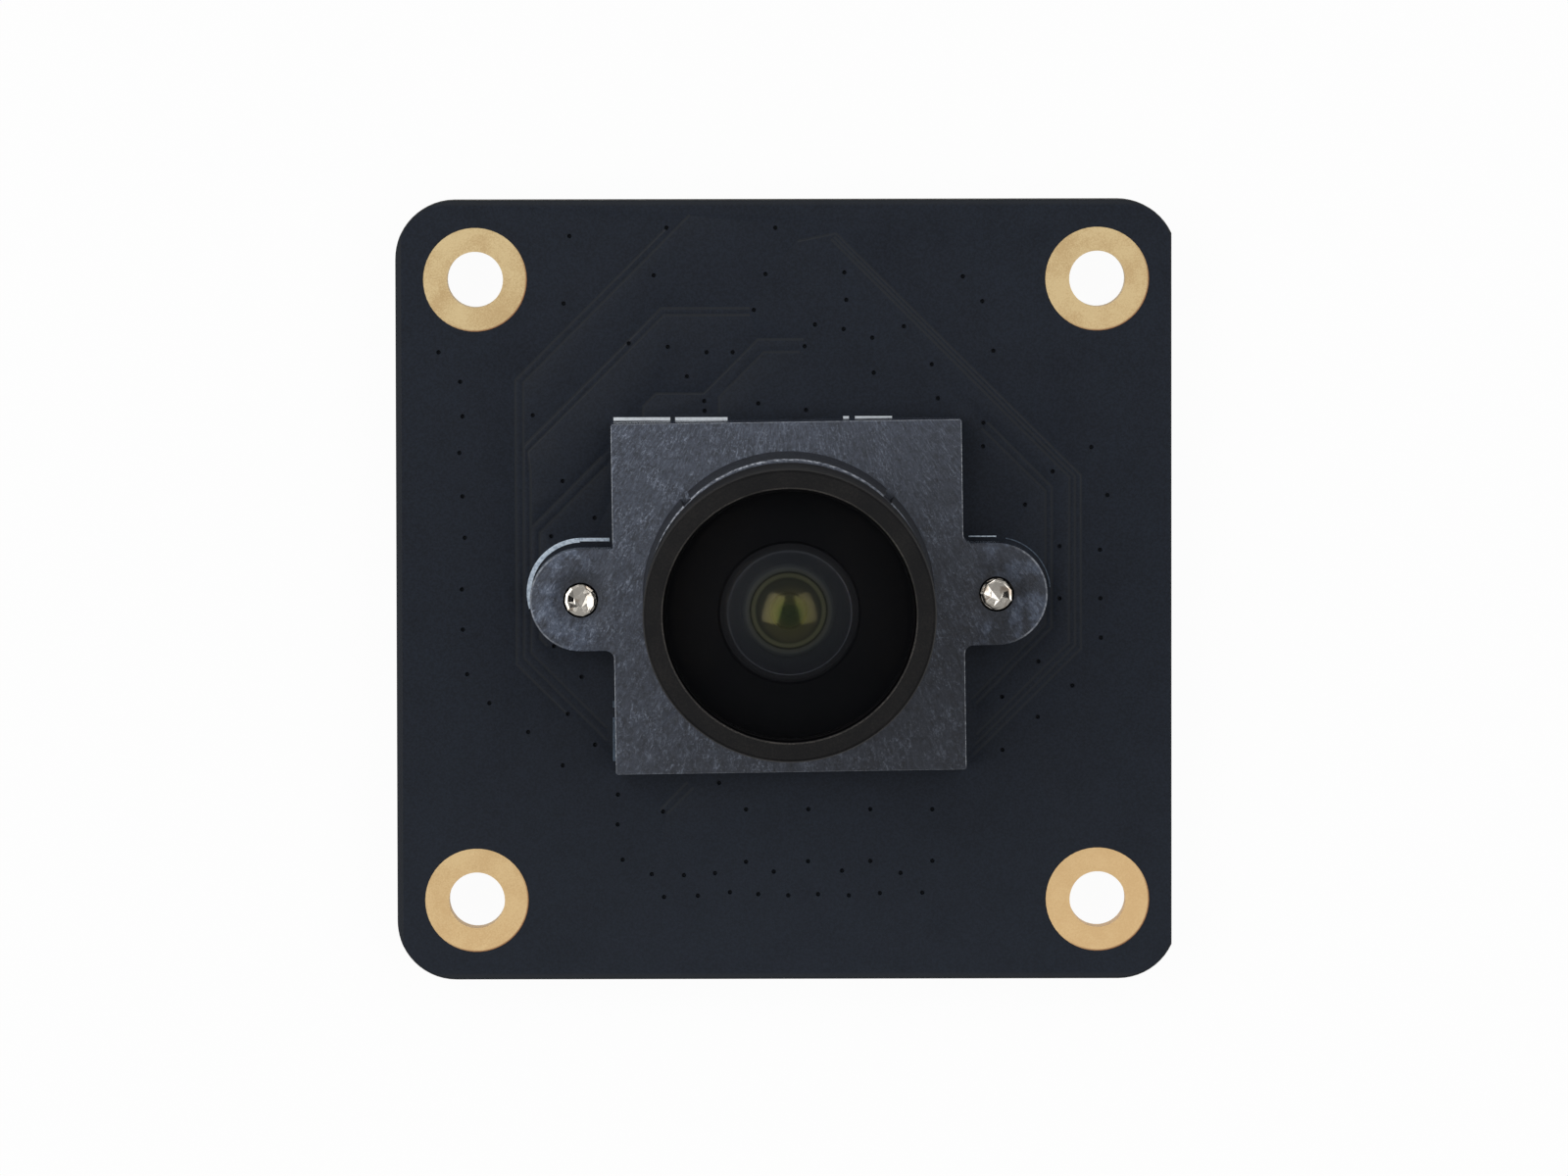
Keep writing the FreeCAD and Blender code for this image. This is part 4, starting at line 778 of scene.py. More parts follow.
@dataclass(frozen=True)
class BlackAnodised(Finish):
    """Matt black anodised aluminium with a fine bead-blasted grain."""

    name: str = "black_anodised"
    base: Colour = screen(10, 10, 12)
    worn_and_highlight: Colour = screen(30, 28, 27)
    gloss: float = 0.5
    specular: float = 0.16
    grain: Grain = (13.0, 4.0, 0.72)
    cloud: Grain = (0.6, 2.0, 0.5)
    cloud_share: float = 0.3
    worn_span: Span = (0.42, 0.7)
    relief: Relief = (0.006, 0.5)

    def surface(self, recipe: Recipe) -> Value:
        """Charcoal with tiny lighter specks.

        Args:
            recipe: Recipe that takes the nodes.

        Returns:
            The shader.
        """
        where = recipe.place()
        grain = recipe.noise(where, *self.grain)
        mottle = recipe.shared(grain, recipe.noise(where, *self.cloud), self.cloud_share)
        return recipe.principled({
            "Base Color": recipe.blend(recipe.ease(mottle, *self.worn_span), self.base, self.worn_and_highlight),
            "Roughness": self.gloss,
            "Specular IOR Level": self.specular,
            "Normal": recipe.bump(grain, *self.relief),
        })


@dataclass(frozen=True)
class CoatedGlass(Finish):
    """Coated glass: clear, with a tinted reflection, a faint milky layer and a black ground edge.

    The colours of reflection and of the milky layer are given from the axis outwards, at radii in
    millimetres.
    On the front lens's hollow and on the second lens, the milky layer's colours are painted
    reflections and a painted highlight.
    """

    name: str = "coated_glass"
    axis: Place = (0.09, -0.22)
    tint: Colour = screen(238, 240, 238)
    reflection: Stops = ((0.0, screen(190, 170, 150)), (1.0, screen(190, 170, 150)))
    strength: float = 0.35
    graze: float = 0.3
    haze_and_reflections: Stops = ((0.0, screen(40, 40, 44)), (1.0, screen(40, 40, 44)))
    haze_share: float = 0.02
    haze_reach: float = 9.0
    haze_end: float = 0.04
    haze_gloss: float = 0.5
    ground: Colour = screen(14, 14, 16)
    ground_from: float = 5.7
    ground_width: float = 0.15
    ground_gloss: float = 0.6
    dull: float = 0.1
    blur: float = 0.07
    film: Grain = (1.4, 2.0, 0.5)
    film_share: float = 0.3
    film_least: float = 0.85
    straight_on: float = 0.05
    facing_blend: float = 0.5
    graze_power: float = 5.0
    line: float = 0.0
    line_side: Pair = (0.8, 0.6)
    line_side_span: Span = (-0.9, 0.7, 0.0, 0.32)
    line_inner: Span = (-0.04, -0.02)
    line_outer: Span = (0.01, 0.03, 1.0, 0.0)

    def surface(self, recipe: Recipe) -> Value:
        """Clear pane under a milky layer and reflection, faintly streaked by the coating.

        Args:
            recipe: Recipe that takes the nodes.

        Returns:
            The shader.
        """
        away = recipe.radius(self.axis)
        film = recipe.noise(recipe.place(), *self.film)
        clear = recipe.node("ShaderNodeBsdfTransparent", None, {"Color": self.tint})
        # Milky layer; on the hollow and the second lens its colours are painted reflections and a
        # painted highlight.
        haze_and_painted_light = recipe.principled({"Base Color": self._rings(recipe, away, self.haze_and_reflections),
                                  "Roughness": self.haze_gloss, "Specular IOR Level": self.dull})
        inside = recipe.ease(away, self.haze_reach - self.haze_end, self.haze_reach,
                             self.haze_share, 0.0)
        # Painted highlight round the edge of the hollow.
        if self.line:
            inside = inside + self._painted_edge_highlight(recipe, away)
        body = recipe.layered(inside, clear, haze_and_painted_light)
        mirror = recipe.principled({"Base Color": self._rings(recipe, away, self.reflection),
                                    "Metallic": 1.0, "Roughness": self.blur})
        facing = recipe.node("ShaderNodeLayerWeight", None, {"Blend": self.facing_blend}, "Facing")
        share = ((film * self.film_share + self.film_least) * (self.straight_on * self.strength)
                 + facing ** self.graze_power * self.graze)
        pane = recipe.layered(share, body, mirror)
        ground = recipe.principled({"Base Color": self.ground, "Roughness": self.ground_gloss,
                                    "Specular IOR Level": self.dull})
        rim = recipe.ease(away, self.ground_from, self.ground_from + self.ground_width)
        return recipe.layered(rim, pane, ground)

    def _painted_edge_highlight(self, recipe: Recipe, away: Value) -> Value:
        """Painted highlight round the hollow, strongest at the lower right.

        Args:
            recipe: Recipe that takes the nodes.
            away: Distance from the lens axis.

        Returns:
            How much the line shows, from 0 to 1.
        """
        x, y, _ = recipe.parts(recipe.place())
        off_x, off_y = x - self.axis[0], y - self.axis[1]
        side = (off_x * self.line_side[0] - off_y * self.line_side[1]) / (away + TINY)
        band = (recipe.ease(away, *around(self.line, self.line_inner))
                * recipe.ease(away, *around(self.line, self.line_outer)))
        return band * recipe.ease(side, *self.line_side_span)

    def _rings(self, recipe: Recipe, away: Value, stops: Stops) -> Value:
        """Colour rings round the axis."""
        reach = stops[-1][0]
        return recipe.ramp(away / reach, *((radius / reach, colour) for radius, colour in stops))


@dataclass(frozen=True)
class BrightSteel(Finish):
    """Nickel plated steel, crinkled where the screw was pinched off."""

    name: str = "bright_steel"
    base: Colour = screen(226, 220, 210)
    stain: Colour = screen(124, 92, 58)
    roughness: float = 0.14
    crinkle: float = 1.6
    crinkle_layers: Layers = (2.0, 0.5, 0.8)
    finer: float = 5.0
    finer_layers: Layers = (3.0, 0.6)
    stain_span: Span = (0.54, 0.7)
    stain_share: float = 0.6
    drift: float = 0.1
    relief: Relief = (0.02, 0.25)

    def surface(self, recipe: Recipe) -> Value:
        """Mirror-like metal with dull stains.

        Args:
            recipe: Recipe that takes the nodes.

        Returns:
            The shader.
        """
        where = recipe.place()
        grain = recipe.noise(where, self.crinkle * self.finer, *self.finer_layers)
        dents = recipe.noise(where, self.crinkle, *self.crinkle_layers)
        stained = recipe.ease(dents, *self.stain_span) * self.stain_share
        return recipe.principled({
            "Base Color": recipe.blend(stained, self.base, self.stain),
            "Metallic": 1.0,
            "Roughness": recipe.ease(grain, *MOST, self.roughness, self.roughness + self.drift),
            "Normal": recipe.bump(dents, *self.relief),
        })


@dataclass(frozen=True)
class Moulding(Finish):
    """Moulded or fired body with a fine grain: housings, latches, chips and packages."""

    name: str = "moulding"
    base: Colour = screen(60, 60, 60)
    patch: Colour = screen(50, 50, 50)
    roughness: float = 0.55
    grain_scale: float = 12.0
    relief: float = 0.008
    specular: float = 0.4
    grain_layers: Layers = (3.0, 0.6)
    grain_share: float = 0.4
    cloud: Grain = (0.9, 3.0, 0.6)
    patch_span: Span = (0.4, 0.62)
    drift: float = 0.06
    relief_share: float = 0.6

    def surface(self, recipe: Recipe) -> Value:
        """Two close tones in soft clouds under a fine grain.

        Args:
            recipe: Recipe that takes the nodes.

        Returns:
            The shader.
        """
        where = recipe.place()
        cloud = recipe.noise(where, *self.cloud)
        grain = recipe.noise(where, self.grain_scale, *self.grain_layers)
        mottle = recipe.ease(recipe.shared(cloud, grain, self.grain_share), *self.patch_span)
        low, high = self.roughness - self.drift, self.roughness + self.drift
        return recipe.principled({
            "Base Color": recipe.blend(mottle, self.base, self.patch),
            "Roughness": recipe.ease(grain, *MOST, low, high),
            "Specular IOR Level": self.specular,
            "Normal": recipe.bump(grain, self.relief, self.relief_share),
        })


@dataclass(frozen=True)
class Metal(Finish):
    """Plated or tinned metal with brushed or wavy relief."""

    name: str = "metal"
    base: Colour = screen(190, 190, 190)
    patch: Colour = screen(170, 170, 168)
    roughness: float = 0.35
    stretch: Triple = (8.0, 8.0, 8.0)
    relief: float = 0.01
    grain: Grain = (1.0, 3.0, 0.6)
    cloud: Grain = (1.2, 2.0, 0.5)
    patch_span: Span = (0.4, 0.65)
    drift: Pair = (-0.05, 0.1)
    relief_share: float = 0.6

    def surface(self, recipe: Recipe) -> Value:
        """Metal with a drawn or rippled grain.

        Args:
            recipe: Recipe that takes the nodes.

        Returns:
            The shader.
        """
        where = recipe.place()
        grain = recipe.noise(recipe.vector("MULTIPLY", where, self.stretch), *self.grain)
        cloud = recipe.ease(recipe.noise(where, *self.cloud), *self.patch_span)
        low, high = (self.roughness + side for side in self.drift)
        return recipe.principled({
            "Base Color": recipe.blend(cloud, self.base, self.patch),
            "Metallic": 1.0,
            "Roughness": recipe.ease(grain, *MOST, low, high),
            "Normal": recipe.bump(grain, self.relief, self.relief_share),
        })


@dataclass(frozen=True)
class PixelField(Finish):
    """Sensor chip: an iridescent field of pixels inside a bare silicon border."""

    name: str = "pixel_field"
    axis: Place = (0.0, 0.0)
    half_x: float = 2.9
    half_y: float = 2.2
    border: Colour = screen(120, 118, 112)
    drift: Grain = (0.25, 1.0)
    shades: Stops = ((0.3, screen(52, 84, 70)), (0.5, screen(82, 70, 96)),
                     (0.7, screen(60, 78, 104)))
    metal_share: float = 0.7
    gloss: float = 0.18
    pixels: Grain = (30.0, 1.0)
    relief: Relief = (0.001, 0.5)

    def surface(self, recipe: Recipe) -> Value:
        """Green to magenta drift over the field.

        Args:
            recipe: Recipe that takes the nodes.

        Returns:
            The shader.
        """
        where = recipe.place()
        x, y, _ = recipe.parts(where)
        shade = recipe.ramp(recipe.noise(where, *self.drift), *self.shades)
        in_x = recipe.maths("LESS_THAN", recipe.maths("ABSOLUTE", x - self.axis[0]), self.half_x)
        in_y = recipe.maths("LESS_THAN", recipe.maths("ABSOLUTE", y - self.axis[1]), self.half_y)
        return recipe.principled({
            "Base Color": recipe.blend(in_x * in_y, self.border, shade),
            "Metallic": self.metal_share,
            "Roughness": self.gloss,
            "Normal": recipe.bump(recipe.noise(where, *self.pixels), *self.relief),
        })


@dataclass(frozen=True)
class WhiteInk(Finish):
    """Printed outline on the board, a little uneven and broken by the mask below."""

    name: str = "white_ink"
    base: Colour = screen(214, 229, 244)
    thin: Colour = screen(168, 184, 202)
    upper: Colour = screen(246, 248, 250)
    film: Grain = (7.0, 3.0, 0.6)
    thin_span: Span = (0.42, 0.66)
    upper_span: Span = (4.0, 7.0, 0.0, 0.6)
    gloss: float = 0.6
    relief: Relief = (0.01, 0.6)

    def surface(self, recipe: Recipe) -> Value:
        """White with thin greyish places, whitest along the upper edge.

        Args:
            recipe: Recipe that takes the nodes.

        Returns:
            The shader.
        """
        where = recipe.place()
        film = recipe.noise(where, *self.film)
        tone = recipe.blend(recipe.ease(film, *self.thin_span), self.base, self.thin)
        high = recipe.ease(recipe.parts(where)[1], *self.upper_span)
        return recipe.principled({
            "Base Color": recipe.blend(high, tone, self.upper),
            "Roughness": self.gloss,
            "Normal": recipe.bump(film, *self.relief),
        })


@dataclass(frozen=True)
class WhiteSweep(Finish):
    """White floor that a lens sees as bright paper and that still takes the object's shadow.

    A lens below the floor looks through it, so that the rear face shows too.
    """

    name: str = "white_sweep"
    glow: float = 0.96
    paper: Colour = screen(226, 226, 226)
    fibre: Colour = screen(232, 232, 232)
    fleck: Grain = (0.8, 2.0)
    gloss: float = 0.9

    def surface(self, recipe: Recipe) -> Value:
        """Paper to the lamps, white to the camera and to mirrors.

        Args:
            recipe: Recipe that takes the nodes.

        Returns:
            The shader.
        """
        fleck = recipe.noise(recipe.place(), *self.fleck)
        paper = recipe.principled({"Base Color": recipe.blend(fleck, self.paper, self.fibre),
                                   "Roughness": self.gloss})
        light = recipe.node("ShaderNodeEmission", None, {"Color": WHITE, "Strength": 1.0})
        camera = recipe.node("ShaderNodeLightPath", output="Is Camera Ray")
        seen = recipe.largest(camera, camera.sibling("Is Glossy Ray"),
                              camera.sibling("Is Transmission Ray"))
        above = recipe.layered(seen * self.glow, paper, light)
        passed = recipe.maths("GREATER_THAN", camera.sibling("Transparent Depth"), 0.5)
        below = recipe.largest(recipe.node("ShaderNodeNewGeometry", output="Backfacing"), passed)
        nothing = recipe.node("ShaderNodeBsdfTransparent", None, {"Color": WHITE})
        return recipe.layered(below, above, nothing)


def deselect() -> None:
    """Leaves nothing selected."""
    bpy.ops.object.select_all(action="DESELECT")


def take(piece: bpy.types.Object) -> bpy.types.Object:
    """Selects one object alone and makes it active.

    Args:
        piece: Object to select.

    Returns:
        The same object.
    """
    deselect()
    piece.select_set(True)
    bpy.context.view_layer.objects.active = piece
    return piece


@contextmanager
def editing(piece: bpy.types.Object, whole: bool = True) -> Iterator[None]:
    """Edit mode on one object, and object mode again after it.

    Args:
        piece: Object to edit.
        whole: Whether all of its mesh is selected first.

    Returns:
        The block's context.
    """
    take(piece)
    bpy.ops.object.mode_set(mode="EDIT")
    if whole:
        bpy.ops.mesh.select_all(action="SELECT")
    yield
    bpy.ops.object.mode_set(mode="OBJECT")


def named(name: str) -> bpy.types.Object:
    """Names the active object and its mesh.

    Args:
        name: The new name.

    Returns:
        The active object.
    """
    piece = bpy.context.view_layer.objects.active
    piece.name = name
    piece.data.name = name
    return piece


def settle(piece: bpy.types.Object) -> None:
    """Puts an object's place, turn and size into its mesh."""
    take(piece)
    bpy.ops.object.transform_apply(location=True, rotation=True, scale=True)


def join(name: str, pieces: Sequence[bpy.types.Object]) -> bpy.types.Object:
    """Joins several objects into one mesh.

    Args:
        name: Name of the joined piece.
        pieces: Objects to join.

    Returns:
        The joined object.
    """
    take(pieces[0])
    for piece in pieces[1:]:
        piece.select_set(True)
    bpy.ops.object.join()
    return named(name)


def copy_at(piece: bpy.types.Object, shift: Vector, turn: float = 0.0) -> bpy.types.Object:
    """Copy with its own mesh, moved and turned about Z in its mesh.

    Args:
        piece: Object to copy, which stays where it was made.
        shift: Move in metres.
        turn: Turn about Z in degrees, before the move.

    Returns:
        The copy.
    """
    twin = piece.copy()
    twin.data = piece.data.copy()
    bpy.context.scene.collection.objects.link(twin)
    twin.rotation_euler = Euler((0, 0, math.radians(turn)))
    twin.location = shift
    settle(twin)
    return twin


def remove(piece: bpy.types.Object) -> None:
    """Deletes an object."""
    bpy.data.objects.remove(piece, do_unlink=True)


def modify(piece: bpy.types.Object, kind: str, settings: dict[str, object]) -> None:
    """Adds a modifier and applies it.

    Args:
        piece: Object to change.
        kind: Type of the modifier.
        settings: Properties of the modifier.
    """
    take(piece)
    modifier = piece.modifiers.new(kind.lower(), kind)
    for key, setting in settings.items():
        setattr(modifier, key, setting)
    bpy.ops.object.modifier_apply(modifier=modifier.name)


def smooth(piece: bpy.types.Object, angle: float = 32.0) -> None:
    """Shades a piece smooth across edges flatter than angle degrees."""
    take(piece)
    bpy.ops.object.shade_smooth_by_angle(angle=math.radians(angle))


def draw(name: str, corners: Sequence[Triple], closed: bool = False) -> bpy.types.Object:
    """Line of edges through corners, extruded from one point.

    Args:
        name: Name of the line's object.
        corners: Places in millimetres.
        closed: Whether the last corner is joined to the first.

    Returns:
        The object with its line.
    """
    deselect()
    bpy.ops.mesh.primitive_plane_add(size=MM, location=(0, 0, 0))
    piece = named(name)
    with editing(piece):
        bpy.ops.mesh.merge(type="CENTER")
        bpy.ops.transform.translate(value=Vector(corners[0]) * MM)
        for last, corner in zip(corners, corners[1:]):
            step = (Vector(corner) - Vector(last)) * MM
            bpy.ops.mesh.extrude_vertices_move(TRANSFORM_OT_translate={"value": step})
        if closed:
            mesh = bmesh.from_edit_mesh(piece.data)
            mesh.verts.ensure_lookup_table()
            for vertex in mesh.verts:
                vertex.select = len(vertex.link_edges) < 2
            mesh.select_flush_mode()
            bmesh.update_edit_mesh(piece.data)
            bpy.ops.mesh.edge_face_add()
    return piece


def arc(centre: Place, radius: float, start: float, end: float, steps: int) -> list[Place]:
    """Points on an arc of a half section.

    Args:
        centre: Middle of the arc.
        radius: Radius in millimetres.
        start: First angle in degrees.
        end: Last angle in degrees.
        steps: Number of stretches.

    Returns:
        The points from start to end.
    """
    angles = [math.radians(start + (end - start) * step / steps) for step in range(steps + 1)]
    return [(centre[0] + radius * math.cos(turn), centre[1] + radius * math.sin(turn))
            for turn in angles]


def turn(name: str, axis: Place, section: Sequence[Place], closed: bool = True,
         steps: int = 96) -> bpy.types.Object:
    """Turned piece, spun round an upright axis from a half section.

    Args:
        name: Name of the piece.
        axis: X and Y of the axis in millimetres.
        section: Radii and heights in millimetres.
        closed: Whether the section is a closed loop, as of a ring.
        steps: Number of stretches round the axis.

    Returns:
        The piece, with its normals outwards.
    """
    corners = [(axis[0] + radius, axis[1], height) for radius, height in section]
    piece = draw(name, corners, closed)
    spin(piece, axis, math.tau, steps)
    return piece


def sweep(name: str, axis: Place, section: Sequence[Place], start: float, end: float,
          steps: int) -> bpy.types.Object:
    """Closed section swept part of the way round an upright axis, with both ends filled.

    Args:
        name: Name of the piece.
        axis: X and Y of the axis in millimetres.
        section: Radii and heights in millimetres.
        start: First angle in degrees, from +X.
        end: Last angle in degrees.
        steps: Number of stretches.

    Returns:
        The piece, with its normals outwards.
    """
    piece = draw(name, [(radius, 0.0, height) for radius, height in section], True)
    piece.rotation_euler = Euler((0, 0, math.radians(start)))
    piece.location = Vector((*axis, 0.0)) * MM
    settle(piece)
    spin(piece, axis, math.radians(start - end), steps, len(section))
    return piece


def spin(piece: bpy.types.Object, axis: Place, angle: float, steps: int, sides: int = 0) -> None:
    """Spins a piece's line round an upright axis and closes what is left open.

    Args:
        piece: Object with the line.
        axis: X and Y of the axis in millimetres.
        angle: Angle of the whole sweep in radians.
        steps: Number of stretches.
        sides: Corners of the open ends to fill, or none.
    """
    with editing(piece):
        bpy.ops.mesh.spin(steps=steps, angle=angle, center=(axis[0] * MM, axis[1] * MM, 0.0),
                          axis=(0, 0, 1))
        bpy.ops.mesh.select_all(action="SELECT")
        bpy.ops.mesh.remove_doubles(threshold=WELD)
        if sides:
            bpy.ops.mesh.fill_holes(sides=sides)
        bpy.ops.mesh.normals_make_consistent(inside=False)


def eased(node: str, width: float, body: Body, finish: Finish, segments: int = 2,
          angle: float = 40.0, smooth_angle: float = 35.0) -> bpy.types.Object:
    """Copy of a frame node with its loose triangles merged and its sharp edges eased.

    Args:
        node: Name of the node, which the copy stands for.
        width: Width of the eased edge in millimetres.
        body: Body that the piece rides on.
        finish: Finish of the piece.
        segments: Steps across the eased edge.
        angle: Edges flatter than this, in degrees, are left.
        smooth_angle: Edges flatter than this, in degrees, are shaded smooth.

    Returns:
        The dressed piece.
    """
    piece = merged(node, f"{node}_dressed")
    modify(piece, "BEVEL", {"width": width * MM, "segments": segments, "limit_method": "ANGLE",
                            "angle_limit": math.radians(angle), "use_clamp_overlap": True,
                            "miter_outer": "MITER_ARC"})
    smooth(piece, smooth_angle)
    return dress(piece, finish, body, node)


def merged(node: str, name: str) -> bpy.types.Object:
    """Copy of a frame node with its triangles merged into whole faces.

    Args:
        node: Name of the node.
        name: Name of the copy.

    Returns:
        The copy, without its material.
    """
    source = frame["nodes"][node]
    piece = source.copy()
    piece.data = source.data.copy()
    piece.parent = None
    for key in list(piece.keys()):
        del piece[key]
    piece.name = name
    piece.data.name = name
    piece.data.materials.clear()
    bpy.context.scene.collection.objects.link(piece)
    with editing(piece):
        bpy.ops.mesh.remove_doubles(threshold=JOINED)
        bpy.ops.mesh.dissolve_limited(angle_limit=math.radians(FLAT))
        bpy.ops.mesh.normals_make_consistent(inside=False)
    if piece.data.has_custom_normals:
        bpy.ops.mesh.customdata_custom_splitnormals_clear()
    return piece


def slot_of(node: str) -> str:
    """Material slot that the record gives a node."""
    return next(part["material_slot"] for part in frame["record"]["subparts"]
                if part["node"] == node)


def dress(piece: bpy.types.Object, finish: Finish, body: Body, *nodes: str,
          slot: str = "") -> bpy.types.Object:
    """Gives a piece its finish and body, and hides the frame nodes that it replaces.

    Args:
        piece: Object to dress.
        finish: Finish of the piece.
        body: Body that it rides on.
        nodes: Frame nodes that it replaces.
        slot: Slot of the record, where it replaces none; not used.

    Returns:
        The same object.
    """
    if not piece.data.materials:
        piece.data.materials.append(finish.material())
    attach(piece, body.value)
    slot or slot_of(nodes[0])
    if nodes:
        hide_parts(*nodes)
    LOG.info("%s: %d faces", piece.name, len(piece.data.polygons))
    return piece


def paint(node: str, finish: Finish) -> None:
    """Gives a frame node that keeps its own shape a finish.

    Args:
        node: Name of the node.
        finish: Finish that it gets.
    """
    for slot in frame["nodes"][node].material_slots:
        slot.material = finish.material()
    LOG.info("%s: finish %s", node, finish.name)


def heights(node: str) -> Pair:
    """Lowest and highest place of a frame node in millimetres."""
    low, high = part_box(node)
    return low.z / MM, high.z / MM


def axis_of(node: str) -> Place:
    """Middle of a frame node in millimetres, seen from above."""
    low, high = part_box(node)
    return (low.x + high.x) / 2 / MM, (low.y + high.y) / 2 / MM


@dataclass
class CircuitBoard:
    """Board with eased edges, grooves beside the copper tracks, dimpled vias and plated rings."""

    edge_ease: float = 0.1
    groove_half_width: float = 0.095
    groove_depth: float = 0.016
    via_radius: float = 0.19
    via_drill: float = 0.095
    via_depth: float = 0.3
    rim_slope: float = 0.06
    via_sides: int = 12
    edge_angle: float = 60.0
    smooth_angle: float = 20.0
    flat_from: float = 0.6
    cutter_lift: float = 0.003
    mask: Finish = SolderMask()
    edge: Finish = LaminateEdge()
    gold: Finish = PlatedGold()
    rings: tuple[str, ...] = ("top_left", "top_right", "bottom_left", "bottom_right")
    tracks: tuple[tuple[Place, ...], ...] = (
        ((-5.78, 17.47), (-13.08, 10.16), (-13.05, -3.58), (-10.63, -6.0)),
        ((-4.64, 18.11), (-12.69, 10.04), (-12.7, -3.27), (-8.71, -7.26)),
        ((-1.75, 13.61), (-6.04, 13.61), (-12.68, 6.96)),
        ((-1.75, 13.28), (-5.89, 13.28), (-12.47, 6.7), (-12.35, 5.71), (-12.35, -3.02),
         (-8.71, -6.66)),
        ((0.85, 12.1), (-1.37, 12.1), (-3.98, 9.5), (-6.3, 9.5), (-6.91, 8.88), (-6.91, 8.36)),
        ((0.66, 11.49), (-1.07, 11.49), (-3.25, 9.31), (-3.25, 8.55)),
        ((-8.9, 6.47), (-12.25, 3.08)),
        ((-8.71, 5.99), (-11.92, 2.79), (-11.92, -2.34), (-11.55, -2.7)),
        ((0.55, 16.83), (2.41, 17.21), (14.21, 5.52), (14.21, -2.87), (9.05, -7.98)),
        ((2.18, 16.93), (13.66, 5.43), (13.63, -2.59), (9.16, -7.02)),
        ((2.32, 17.04), (13.93, 5.47), (13.93, -2.71), (9.11, -7.49)),
        ((9.7, 8.08), (12.81, 4.95), (12.81, -1.86), (9.16, -5.51)),
        ((9.42, 7.79), (12.51, 4.76), (12.51, -1.72), (8.93, -5.32)),
        ((-5.82, -10.85), (-4.52, -9.55)),
        ((-6.13, -10.62), (-4.81, -9.29)),
    )
    upper_vias: tuple[Place, ...] = (
        (-5.76, 17.49), (-0.51, 17.48), (-10.44, 17.1), (2.81, 15.32), (-0.99, 15.25),
        (-6.38, 15.2), (8.52, 15.12), (2.9, 14.0), (9.46, 13.92), (-10.73, 13.85), (-1.56, 13.52),
        (1.39, 12.81), (5.68, 12.72), (2.77, 12.59), (4.15, 12.17), (-7.59, 11.92), (0.89, 11.76),
        (-5.71, 11.75), (9.99, 11.53), (-16.77, 11.51), (-3.84, 11.48), (-2.58, 11.48),
        (7.02, 10.88), (4.22, 10.48), (-4.79, 10.32), (-15.73, 10.08), (7.32, 9.24), (-3.96, 9.13),
        (-1.35, 9.01), (0.95, 8.69), (-3.94, 8.66), (-12.23, 8.46), (-15.62, 8.41), (9.51, 8.05),
    )
    side_vias: tuple[Place, ...] = (
        (9.48, 6.92), (14.71, 6.87), (-15.78, 6.65), (12.85, 5.7), (-10.8, 5.28), (-15.64, 4.55),
        (15.49, 4.55), (11.51, 4.1), (-9.26, 3.5), (-11.36, 2.61), (-15.53, 2.55), (13.17, 2.08),
        (15.13, 1.91), (-15.68, 0.05), (15.15, -0.44), (13.18, -0.44), (-15.64, -1.89),
        (15.17, -2.34), (-11.24, -2.7), (12.15, -3.48), (-15.44, -4.05), (-9.91, -4.18),
        (13.79, -4.66), (10.39, -5.19), (-14.37, -5.45), (-10.58, -5.98), (12.12, -6.17),
        (-12.5, -6.85), (-9.27, -7.47), (10.41, -7.76), (-10.83, -8.47),
    )
    lower_vias: tuple[Place, ...] = (
        (-3.28, -9.33), (-8.17, -9.89), (-1.98, -10.62), (1.03, -10.62), (4.02, -10.62),
        (7.02, -10.63), (-5.99, -10.72), (-8.19, -11.34), (-7.95, -13.05), (7.02, -13.13),
        (4.02, -13.13), (1.01, -13.14), (-1.99, -13.16), (2.65, -13.6), (-0.65, -13.64),
        (-3.49, -13.71), (5.48, -13.71), (-6.55, -13.75), (-4.99, -13.8), (-2.77, -14.63),
        (6.53, -14.67), (4.48, -14.69), (-1.4, -14.73), (1.49, -14.74), (0.05, -14.79),
        (-4.32, -14.8), (2.98, -14.8), (-5.96, -14.86),
    )

    @property
    def front(self) -> float:
        """Height of the front face in millimetres."""
        return heights("board")[1]

    def build(self) -> None:
        """Makes the board and its rings."""
        board = merged("board", "board_dressed")
        modify(board, "BEVEL", {"width": self.edge_ease * MM, "segments": 2,
                                "limit_method": "ANGLE",
                                "angle_limit": math.radians(self.edge_angle)})
        board.data.materials.append(self.mask.material())
        board.data.materials.append(self.edge.material())
        for face in board.data.polygons:
            face.material_index = int(abs(face.normal.z) < self.flat_from)
        for cutter in (self._grooves(), self._vias()):
            modify(board, "BOOLEAN", {"object": cutter, "operation": "DIFFERENCE",
                                      "solver": "EXACT", "use_self": True})
            remove(cutter)
        smooth(board, self.smooth_angle)
        dress(board, self.mask, Body.MODULE, "board")
        for ring in self.rings:
            paint(f"mount_ring_{ring}", self.gold)

